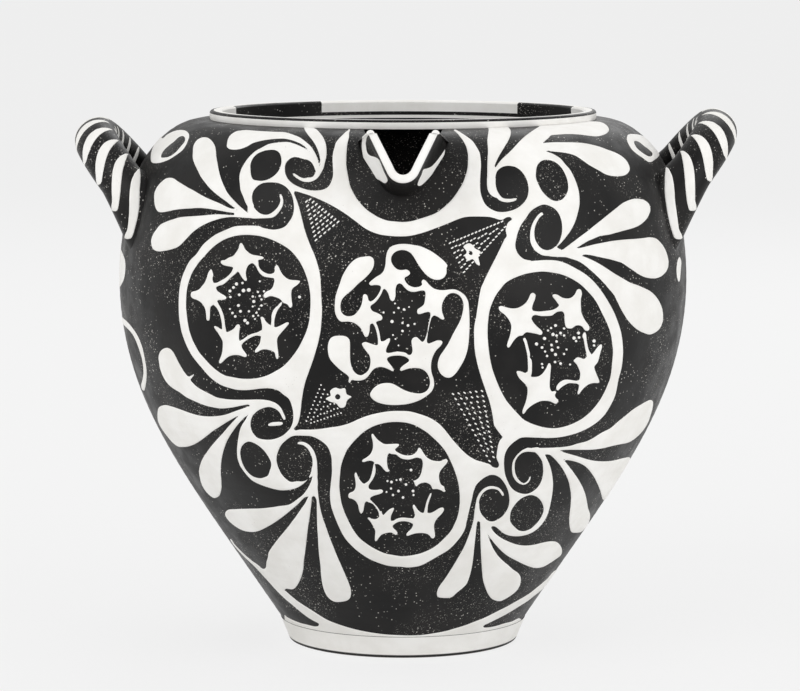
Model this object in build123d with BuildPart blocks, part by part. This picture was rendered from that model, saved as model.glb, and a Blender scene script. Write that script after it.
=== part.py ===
from build123d import *

import os
from math import cos, radians, sin, tan

# A low clay jar with a bridged trough spout and two loop handles, in millimetres.
# The origin is the middle of the underside of the foot, with +Z up.
# The spout points along -Y and the handles stand at -X and +X.

# Body sizes
foot_radius = 50.3
foot_height = 10.0
foot_edge = 1.2
root_radius = 54.3
belly_radius = 124.4
belly_height = 153.0
shoulder_height = 77.5
wall = 5.0

# Rim sizes
rim_radius = 84.5
rim_width = 5.5
rim_height = 3.5
rim_edge = 1.2

# The two thrown sections of the wall meet above the belly on a bevel
joint_rise = 15.0
joint_bevel = 6.0

# Outline of the wall, each point as shares of the radius gained and of the height gained
lower_shares = ((0.23, 0.168), (0.62, 0.461), (0.897, 0.741))
# Each point as shares of the radius lost and of the height gained above the belly
upper_shares = ((0.063, 0.449), (0.256, 0.757), (0.494, 0.907), (0.752, 0.984))
# Places along the outside line that the inside line follows
inside_shares = (0.08, 0.2, 0.32, 0.44, 0.56, 0.66, 0.75, 0.83, 0.9)

# Spout sizes
spout_overhang = 13.6
spout_sink = 1.0
spout_tip_width = 29.5
spout_tip_depth = 21.5
spout_root_width = 39.0
spout_root_depth = 24.0
spout_slope = 7.5
spout_wall = 3.4
spout_floor_radius = 7.0
spout_luting_flare = 4.0
spout_luting_overhang = 0.6
spout_luting_feather = 0.7

# Handle sizes
handle_foot_share = 0.795
handle_foot_depth = 7.15
handle_half_span = 35.0
handle_bore_inset = 16.0
handle_thickness = 16.0
handle_breadth = 19.0
tenon_thickness = 9.0
tenon_breadth = 12.0
tenon_lap = 8.0
luting_thickness = 25.0
luting_breadth = 34.0
luting_feather = 0.7
luting_turn = 24.0
# Each a share of the luting's bend and the share of its extra size that is left there
luting_fade_shares = ((0, 0.5), (0.5, 0.24), (1, 0))
left_handle_tilt = 51.5
left_handle_straight = 15.5
right_handle_tilt = 52.0
right_handle_straight = 20.0

# How far cutting shapes run past what they cut
overrun = 6.0

# Degrees
full_turn = 360

joint_height = belly_height + joint_rise
rim_seat = belly_height + shoulder_height
jar_height = rim_seat + rim_height
spout_reach = belly_radius + spout_overhang
spout_luting_reach = belly_radius + spout_luting_overhang
mouth_radius = rim_radius - rim_width


def outside_line():
    """The outside of the wall, from the foot disc up to the rim's seat."""
    lower = [
        (root_radius + out * (belly_radius - root_radius), foot_height + up * (belly_height - foot_height))
        for out, up in lower_shares
    ]
    upper = [
        (belly_radius - back * (belly_radius - rim_radius), belly_height + up * (rim_seat - belly_height))
        for back, up in upper_shares
    ]
    return Spline(
        (root_radius, foot_height),
        *lower,
        (belly_radius, belly_height),
        *upper,
        (rim_radius, rim_seat),
    )


def inside_line():
    """The inside of the wall, one wall thickness in from the outside line."""
    with BuildLine(mode=Mode.PRIVATE) as outside:
        outside_line()
    line = outside.line
    points = []
    for share in inside_shares:
        place = line @ share
        along = line % share
        points.append((place.X - wall * along.Y, place.Y + wall * along.X))
    return Spline(
        (root_radius - wall / (line % 0).Y, foot_height),
        *points,
        (mouth_radius, rim_seat - wall),
    )


def wall_face():
    """The section of the whole wall, from the foot disc to the rim's seat."""
    with BuildSketch(mode=Mode.PRIVATE) as section:
        with BuildLine():
            outside = outside_line()
            inside = inside_line()
            Polyline(outside @ 1, (mouth_radius, rim_seat), inside @ 1)
            Line(outside @ 0, inside @ 0)
        make_face()
    return section.sketch


def above_joint():
    """What lies above the bevel between the two sections of the wall."""
    near = belly_radius + wall
    far = belly_radius - wall - overrun
    slope = joint_bevel / wall
    with BuildSketch(mode=Mode.PRIVATE) as section:
        with BuildLine():
            Polyline(
                (near, joint_height + (belly_radius - near) * slope),
                (far, joint_height + (belly_radius - far) * slope),
                (0, joint_height + (belly_radius - far) * slope),
                (0, jar_height),
                (near, jar_height),
                close=True,
            )
        make_face()
    return section.sketch


def spout_top(distance):
    """Height of the spout's top edge at a distance from the jar's axis."""
    fall = (spout_reach - distance) * tan(radians(spout_slope))
    return jar_height - spout_sink - fall


def trough_face(distance, width, depth, grow):
    """The outside of the trough at a distance from the axis, made larger by grow."""
    top = spout_top(distance)
    with BuildSketch(mode=Mode.PRIVATE) as section:
        with BuildLine():
            CenterArc((0, top - depth + spout_floor_radius), spout_floor_radius + grow, 0, full_turn)
            Line((-width / 2 - grow, top), (width / 2 + grow, top))
        make_hull()
    return section.sketch


def channel_face(distance, width, depth):
    """The open channel of the trough at a distance from the axis."""
    top = spout_top(distance)
    half = width / 2 - spout_wall
    lift = jar_height - top + overrun
    with BuildSketch(mode=Mode.PRIVATE) as section:
        with BuildLine():
            CenterArc((0, top - depth + spout_floor_radius), spout_floor_radius - spout_wall, 0, full_turn)
            Polyline((-half, top), (-half, top + lift), (half, top + lift), (half, top))
        make_hull()
    return section.sketch


def handle_foot():
    """Radius and height of the middle of a handle's foot, a depth in from the outside line."""
    with BuildLine(mode=Mode.PRIVATE) as outside:
        outside_line()
    place = outside.line @ handle_foot_share
    along = outside.line % handle_foot_share
    return place.X - handle_foot_depth * along.Y, place.Y + handle_foot_depth * along.X


def handle_plane(side, tilt):
    """The plane of a handle's loop: its X axis runs up and out, its Y axis along the jar's Y."""
    foot_out, foot_up = handle_foot()
    out = (side * cos(radians(tilt)), 0, sin(radians(tilt)))
    return Plane(
        origin=(side * foot_out, 0, foot_up),
        x_dir=out,
        z_dir=(-sin(radians(tilt)), 0, side * cos(radians(tilt))),
    )


def handle_path(plane, straight):
    """The line along the middle of a handle: two straight ends, set in the wall, and half a circle."""
    turn = straight - handle_bore_inset
    with BuildLine(plane, mode=Mode.PRIVATE) as path:
        Line((-handle_bore_inset, -handle_half_span), (turn, -handle_half_span))
        ThreePointArc((turn, -handle_half_span), (turn + handle_half_span, 0), (turn, handle_half_span))
        Line((turn, handle_half_span), (-handle_bore_inset, handle_half_span))
    return path.wires()[0]


def rod_plane(plane, path, share):
    """A plane square to the handle's path, with its X axis in the plane of the loop."""
    along = path % share
    return Plane(origin=path @ share, x_dir=plane.z_dir.cross(along), z_dir=along)


os.makedirs("parts", exist_ok=True)

# The space that the jar fills, wall and inside together, which trims what is luted on
with BuildPart() as jar_space:
    with BuildSketch(Plane.XZ):
        with BuildLine():
            skin = outside_line()
            Polyline(skin @ 1, (0, rim_seat), (0, foot_height), skin @ 0)
        make_face()
    revolve(axis=Axis.Z)

# The hollow inside the wall, which trims the tenons flush
with BuildPart() as jar_hollow:
    with BuildSketch(Plane.XZ):
        with BuildLine():
            lining = inside_line()
            Polyline(lining @ 1, (0, rim_seat - wall), (0, foot_height), lining @ 0)
        make_face()
    revolve(axis=Axis.Z)

# The open channel that runs from the mouth, under the rim, to past the spout's tip
channel_start = mouth_radius - overrun
channel_end = spout_reach + overrun
width_gain = (spout_root_width - spout_tip_width) / (spout_reach - rim_radius)
depth_gain = (spout_root_depth - spout_tip_depth) / (spout_reach - rim_radius)
with BuildPart() as spout_channel:
    for distance in (channel_start, channel_end):
        back = spout_reach - distance
        with BuildSketch(Plane.XZ.offset(distance)):
            add(channel_face(distance, spout_tip_width + back * width_gain, spout_tip_depth + back * depth_gain))
    loft()

# Both tenons of each handle, which pass through holes in the shoulder
handles = {
    "left_handle": (handle_plane(-1, left_handle_tilt), left_handle_straight),
    "right_handle": (handle_plane(1, right_handle_tilt), right_handle_straight),
}
tenons = {}
for name, (plane, straight) in handles.items():
    path = handle_path(plane, straight)
    with BuildPart() as pegs:
        for end in (0, 1):
            seat = rod_plane(plane, path, end)
            inward = 1 if end == 0 else -1
            with BuildSketch(seat):
                Ellipse(tenon_thickness / 2, tenon_breadth / 2)
            extrude(amount=inward * (straight + tenon_lap))
        add(jar_hollow.part, mode=Mode.SUBTRACT)
    tenons[name] = pegs.part

# Foot disc, which is also the floor of the jar
with BuildPart() as foot_disc:
    with BuildSketch(Plane.XZ):
        with BuildLine():
            Polyline(
                (0, 0),
                (foot_radius, 0),
                (root_radius, foot_height),
                (0, foot_height),
                close=True,
            )
        make_face()
    revolve(axis=Axis.Z)
    fillet(foot_disc.edges().group_by(Axis.Z)[0], radius=foot_edge)
foot_disc.part.label = "foot_disc"
export_step(foot_disc.part, "parts/foot_disc.step")

# Lower section of the wall, from the foot disc to the bevel
with BuildPart() as lower_wall:
    with BuildSketch(Plane.XZ):
        add(wall_face())
        add(above_joint(), mode=Mode.SUBTRACT)
    revolve(axis=Axis.Z)
lower_wall.part.label = "lower_wall"
export_step(lower_wall.part, "parts/lower_wall.step")

# Shoulder section, cut through for the spout's channel and the handles' tenons
with BuildPart() as shoulder_wall:
    with BuildSketch(Plane.XZ):
        add(wall_face())
        add(above_joint(), mode=Mode.INTERSECT)
    revolve(axis=Axis.Z)
    add(spout_channel.part, mode=Mode.SUBTRACT)
    for pegs in tenons.values():
        add(pegs, mode=Mode.SUBTRACT)
shoulder_wall.part.label = "shoulder_wall"
export_step(shoulder_wall.part, "parts/shoulder_wall.step")

# Rim coil, which bridges the spout's channel
with BuildPart() as rim_coil:
    with BuildSketch(Plane.XZ):
        with BuildLine():
            Polyline(
                (mouth_radius, rim_seat),
                (rim_radius, rim_seat),
                (rim_radius, jar_height),
                (mouth_radius, jar_height),
                close=True,
            )
        make_face()
    revolve(axis=Axis.Z)
    fillet(rim_coil.edges().group_by(Axis.Z)[-1], radius=rim_edge)
rim_coil.part.label = "rim_coil"
export_step(rim_coil.part, "parts/rim_coil.step")

# Trough of the spout, seated on the shoulder round the channel
with BuildPart() as spout_body:
    with BuildSketch(Plane.XZ.offset(rim_radius)):
        add(trough_face(rim_radius, spout_root_width, spout_root_depth, 0))
    with BuildSketch(Plane.XZ.offset(spout_reach)):
        add(trough_face(spout_reach, spout_tip_width, spout_tip_depth, 0))
    loft()
with BuildPart() as spout_trough:
    add(spout_body.part)
    add(spout_channel.part, mode=Mode.SUBTRACT)
    add(jar_space.part, mode=Mode.SUBTRACT)
spout_trough.part.label = "spout_trough"
export_step(spout_trough.part, "parts/spout_trough.step")

# Coil of clay smoothed round the root of the spout
luting_back = spout_reach - spout_luting_reach
with BuildPart() as spout_luting:
    with BuildSketch(Plane.XZ.offset(rim_radius)):
        add(trough_face(rim_radius, spout_root_width, spout_root_depth, spout_luting_flare))
    with BuildSketch(Plane.XZ.offset(spout_luting_reach)):
        add(
            trough_face(
                spout_luting_reach,
                spout_tip_width + luting_back * width_gain,
                spout_tip_depth + luting_back * depth_gain,
                spout_luting_feather,
            )
        )
    loft()
    add(spout_body.part, mode=Mode.SUBTRACT)
    add(spout_channel.part, mode=Mode.SUBTRACT)
    add(jar_space.part, mode=Mode.SUBTRACT)
spout_luting.part.label = "spout_luting"
export_step(spout_luting.part, "parts/spout_luting.step")

# Loop handles with their tenons, and the clay smoothed round their four roots
for name, (plane, straight) in handles.items():
    path = handle_path(plane, straight)
    with BuildPart() as rod:
        with BuildSketch(rod_plane(plane, path, 0)):
            Ellipse(handle_thickness / 2, handle_breadth / 2)
        sweep(path=path)
    with BuildPart() as handle:
        add(rod.part)
        add(jar_space.part, mode=Mode.SUBTRACT)
        add(tenons[name])
    handle.part.label = name
    export_step(handle.part, f"parts/{name}.step")

    bend = radians(luting_turn) * handle_half_span
    stations = [(0, 1)] + [(straight + share * bend, left) for share, left in luting_fade_shares]
    with BuildPart() as luting:
        for flip in (False, True):
            for run, grow in stations:
                share = run / path.length
                with BuildSketch(rod_plane(plane, path, 1 - share if flip else share)):
                    Ellipse(
                        (handle_thickness + luting_feather + grow * (luting_thickness - handle_thickness)) / 2,
                        (handle_breadth + luting_feather + grow * (luting_breadth - handle_breadth)) / 2,
                    )
            loft()
        add(rod.part, mode=Mode.SUBTRACT)
        add(jar_space.part, mode=Mode.SUBTRACT)
    luting.part.label = f"{name}_luting"
    export_step(luting.part, f"parts/{name}_luting.step")
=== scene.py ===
from functools import cached_property
from math import cos, pi, radians, sin, sqrt, tan

import bpy
import numpy as np
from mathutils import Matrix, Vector
from mathutils.bvhtree import BVHTree


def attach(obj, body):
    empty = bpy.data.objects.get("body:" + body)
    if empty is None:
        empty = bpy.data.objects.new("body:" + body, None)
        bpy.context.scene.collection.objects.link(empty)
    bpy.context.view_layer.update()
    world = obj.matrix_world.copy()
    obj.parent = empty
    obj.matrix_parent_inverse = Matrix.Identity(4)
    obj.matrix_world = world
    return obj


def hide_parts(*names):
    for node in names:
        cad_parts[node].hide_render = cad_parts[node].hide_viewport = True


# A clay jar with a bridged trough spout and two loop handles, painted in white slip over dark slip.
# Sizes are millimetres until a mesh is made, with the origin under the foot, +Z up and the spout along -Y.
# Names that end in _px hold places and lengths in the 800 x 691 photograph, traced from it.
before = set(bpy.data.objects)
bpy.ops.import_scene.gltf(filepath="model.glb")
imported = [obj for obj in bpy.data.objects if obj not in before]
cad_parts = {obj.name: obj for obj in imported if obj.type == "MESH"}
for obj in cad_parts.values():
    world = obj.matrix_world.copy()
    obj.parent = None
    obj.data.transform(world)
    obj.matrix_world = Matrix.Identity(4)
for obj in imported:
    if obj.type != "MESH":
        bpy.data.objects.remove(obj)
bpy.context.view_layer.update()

mm = 0.001
full_turn = 2 * pi
half_turn = pi
right_angle = pi / 2

# The camera, fitted to the photograph
image_width_px = 800
image_height_px = 691
lens_px = 3745.0
middle_px = (403.0, 354.5)
camera_place = np.array((0.0, -1640.0, 320.0))
camera_aim = np.array((0.0, 0.0, 126.0))
sensor_width = 36.0

# Body sizes
foot_height = 10.0
root_radius = 54.3
belly_radius = 124.4
belly_height = 153.0
shoulder_height = 77.5
wall = 5.0
lower_shares = ((0.23, 0.168), (0.62, 0.461), (0.897, 0.741))
upper_shares = ((0.063, 0.449), (0.256, 0.757), (0.494, 0.907), (0.752, 0.984))
inside_shares = (0.08, 0.2, 0.32, 0.44, 0.56, 0.66, 0.75, 0.83, 0.9)

# Rim sizes
rim_radius = 84.5
rim_width = 5.5
rim_height = 3.5
rim_seat = belly_height + shoulder_height
jar_height = rim_seat + rim_height
mouth_radius = rim_radius - rim_width

# The rim's section from its seat round the outside: shares of its width and height, and how the face after
# each point is painted. Then the inside of the mouth below the rim, downwards, as heights.
rim_section = (
    (0.95, -0.1, "white"),
    (1.0, 0.12, "white"),
    (1.0, 0.7, "dark"),
    (0.96, 0.85, "dark"),
    (0.88, 0.96, "dark"),
    (0.68, 1.0, "white"),
    (0.4, 1.0, "white"),
    (0.25, 1.0, "arcs"),
    (0.08, 0.9, "arcs"),
    (0.0, 0.75, "arcs"),
    (0.0, 0.0, "dark"),
)
mouth_section = ((rim_seat, "arcs"), (229.0, "dark"), (227.4, "white"), (226.0, "dark"))
arc_gaps = ((-69, -27), (41, 72), (-149, -115), (118, 150))

# Spout sizes
spout_reach = 138.0
spout_sink = 1.0
spout_tip_width = 29.5
spout_tip_depth = 21.5
spout_root_width = 39.0
spout_root_depth = 24.0
spout_slope = radians(7.5)
spout_wall = 3.4
spout_floor_radius = 7.0
spout_start_share = 0.94
spout_flare = 3.6
spout_flare_run = 17.0
spout_flare_depth = 6.0
spout_flare_lead = 1.0
tip_round = 0.9
tip_round_share = 0.5
tip_round_steps = (0.3, 0.7, 1.0)
notch_rings = 24
notch_clearance = 0.3

# Handle sizes
handle_foot_radius = 113.0
handle_foot_height = 195.0
handle_half_span = 35.0
handle_inset = 16.0
handle_thickness = 16.0
handle_breadth = 19.0
flare_thickness = 25.0
flare_breadth = 34.0
flare_turn = radians(24)
flare_power = 1.25
handles = (("left_handle", -1, radians(51.5), 15.5), ("right_handle", 1, radians(52), 20.0))

# The layers on the clay: the dark slip lies a little inside the clay's own outline, and the white lies on it
skin_inset = 0.3
slip_proud = 0.22
slip_sunk = 0.35
slip_edge = 0.55

# The ridges that the potter's fingers left, in millimetres, and how slowly they sway, in pitches
ridge_height = 0.07
ridge_pitch = 4.6
ridge_sway = 5
ridge_slow_sway = 7
inner_ridge_share = 2

# How far round the jar the photograph shows, and from where on the pattern is eased back to the visible edge
front_reach = radians(90)
edge_start = radians(70)
edge_slack = radians(4.3)

# The white bands round the handles
band_count = 11
band_first = 9.0
band_half = 3.2
band_reach = 1.35
bar_share = 0.6
bar_reach = 1.45
bar_squareness = 4

# The foot's paint, as heights in metres
# The lowest band of the foot's side is dark: a line of dark slip that is also painted shade where the foot
# meets the floor
foot_shade_line_top = 0.0016
foot_shade_line_blur = 0.0004
foot_under = 0.0001
foot_inside = 0.0098

# How finely things are cut up
field_reach_px = 4.0
curve_steps = 3
spline_samples = 3000
frame_cell = 0.72
star_cell = 0.42
band_cell = 0.5
region_margin_px = 2.0
region_steps = 300
wall_sides = 360
wall_rings = 150
inner_rings = 70
rim_sides = 360
trough_arc_points = 15
trough_side_points = 12
lip_points = 5
spout_samples = 160
spout_rings = 48
handle_samples = 900
handle_sides = 56
handle_rings = 150
dot_sides = 10
dot_profile = ((1.0, -0.15), (0.9, 0.1), (0.55, 0.2))
sharp_angle = radians(35)
slip_sharp_angle = radians(60)

# Patterns in the slips: a noise's scale, detail and roughness, the two values between which the pattern
# rises, and where given what it rises from and to
dark_cloud = (45, 4, 0.55, 0.35, 0.7)
fleck_patches = (70, 5, 0.7, 0.50, 0.58)
grains = (1500, 3, 0.6, 0.62, 0.68)
grain_patches = (30, 3, 0.6, 0.46, 0.60)
dark_roughness = (90, 4, 0.6, 0.3, 0.7, 0.34, 0.52)
white_cloud = (60, 5, 0.6, 0.3, 0.7)
pit_patches = (110, 4, 0.7, 0.56, 0.68)
white_roughness = (160, 3, 0.5, 0.3, 0.7, 0.72, 0.9)
clay_cloud = (240, 5, 0.6, 0.35, 0.65)

# Flecks and pits: the scale of the cells in which they lie, and the two distances over which they fade
fleck_cells = (620, 0.10, 0.20)
pit_cells = (800, 0.06, 0.14)

# Fine relief: a noise's scale, detail and roughness, then its strength and its depth in metres
dark_grain = (700, 4, 0.6, 0.35, 0.00012)
white_grain = (900, 4, 0.65, 0.4, 0.00012)
foot_grain = (800, 4, 0.65, 0.4, 0.00015)

# Colours and shine
dark_low = (0.006, 0.0058, 0.0058)
dark_high = (0.014, 0.013, 0.0125)
# The dark of the foot's lowest band, a slip line that is also painted shade where the foot meets the floor
line_and_floor_shade = (0.012, 0.011, 0.011)
fleck_colour = (0.60, 0.58, 0.54)
grain_colour = (0.42, 0.40, 0.37)
white_low = (0.80, 0.785, 0.75)
white_high = (0.88, 0.87, 0.845)
pit_colour = (0.34, 0.31, 0.28)
clay_low = (0.40, 0.27, 0.17)
clay_high = (0.52, 0.37, 0.25)
dark_specular = 0.18
foot_roughness = 0.82

# The studio, in metres and watts
lamps = (
    ("key", (-1.25, -1.35, 1.35), 1.6, 17.0),
    ("fill", (1.5, -1.1, 0.8), 1.6, 12.0),
    ("back", (0.4, 1.5, 1.4), 1.4, 10.0),
)
world_colour = (1.0, 1.0, 1.0, 1.0)
world_strength = 0.68
floor_colour = (0.9, 0.9, 0.9)
floor_glow = 0.85
floor_size = 120.0

# The painted ornament, as closed smooth outlines. They are laid down in this order: the frame in white, the
# fields in dark, the motifs in white and their slots in dark. The medallions are pieces of their own.

frame_white_px = {
    "top_ring": """453,130.5 455,129.5 460,132 466,136 472,140.5 476,146 479.5,152.5 480.5,158 481,165
        480.5,172.5 480,183 480.5,192 482.5,199 485.5,204.5 490,208.5 496.5,211.5 503,212 506,217
        500,225 440,245 370,245 320,205 305,195 308,190 317.5,190.5 323.5,189.5 328.5,186.5 331.5,181
        333,175.5 333,168.5 332.5,160 333,153 334.5,147.5 336,142.5 340,137.5 344.5,133 348.5,130
        352,130.5 400,160""",
    "left_ring": """259,225.6 251,225.6 240,225.8 233.5,226.7 225.5,230 215.5,234.6 208.7,239.6
        202.5,245.3 196.3,254.2 189.6,261 184.5,271 181.7,278.4 180,286 179,294 178.7,305 179,315.4
        180,323.3 181.7,332.2 185.7,343.5 190.7,353.6 196.3,361.4 202,368 209.8,377 220,384.5 231,388.4
        239,390 249,390 260.3,388.6 270.4,388.4 278.3,390.6 283.3,394.5 288.7,398.7 292,406.3 293.5,417
        295,426 310,400 330,300 310,240 300,215 293,210 285,222 272,227""",
    "right_ring": """529,259.6 535,260.7 543.7,260.1 555.5,260.4 565.8,263.3 576,268.5 586.5,275
        595.3,283.2 602.7,292.8 610,304.6 615.2,315 620.4,329.7 622.5,342 623,354 621.5,368 618.3,380
        615.8,393.3 611.7,403.3 605,414.2 596.7,422.5 585,429.7 573.3,434.2 560,437.2 546.7,438
        533.3,437.5 522.5,437.5 513,441 505,440 480,400 465,333 480,290 497,255 508,235 516,245""",
    "bottom_ring": """303,435 300,432 330,415 400,405 470,440 490,463 490,475 477.5,483.3 473.7,491.7
        471.7,500 469.2,511.7 466.7,523.3 463.3,532.5 456.7,541.7 448.3,550 438.3,556 430,560.8
        420.4,565.6 408.8,567.5 401,566.7 389.6,566 378,562.7 368.5,558.5 358.8,552 352,546 345.4,538.7
        340.6,530.4 334.8,517 331,505.4 330,494 331,482 332,471 331,459 328,449.6 322.3,442 312.7,437""",
    "upper_left_mass": """254.5,214.5 250,209.6 246,203.5 243,196 240.5,190 240,185 239.4,179 240,173
        242.3,167 246,161 250,156 255.7,151 262,147.5 269,144 279,142.4 287.4,142 294.7,143.8 302,147
        307.5,150.5 311.7,155 319.5,166 318,185 333,182 350,190 352,217 330,220 318,262 300,240 280,225
        262,212""",
    "upper_right_mass": """487.5,124 487.3,140 488,150 487.5,160 487.3,180 489,195 500,214 508,240
        510,257 529,259 540,254 549,253 556,252.5 563,249 556,248.5 561,243 566,237 571,230 575,222
        577.5,214 579.3,206 579.5,198 578.5,190 576,182 573,175 569.5,169 565,164 561,159 556,155.5
        551,153 546,151.3 540,146 552,134 552,122 520,121""",
    "lower_left_mass": """249,413.5 246,419 242,425 240,430 238.5,437 237.5,444 237,451 237.5,458
        239,463 240.5,466.5 244,471.5 248,476.5 253,481 260,484.5 267,487 274,489 281,490.3 288,490
        295,488.5 301,485.5 306,481.5 310,477.5 314,474 318,460 313,440 305,424 293,415 275,412 258,406""",
    "lower_right_mass": """543,452 547,459 550,466 552,474 553,483 552.5,492 551,501 549,510 546,518
        541.5,524.5 536,530 530,533.5 523,535.7 516,536.3 509,535.5 503,533 499,529.5 495,526.5 490,526
        484,522 474,515 478,485 488,472 496,455 500,440 510,436 530,440 538,447""",
}

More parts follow.
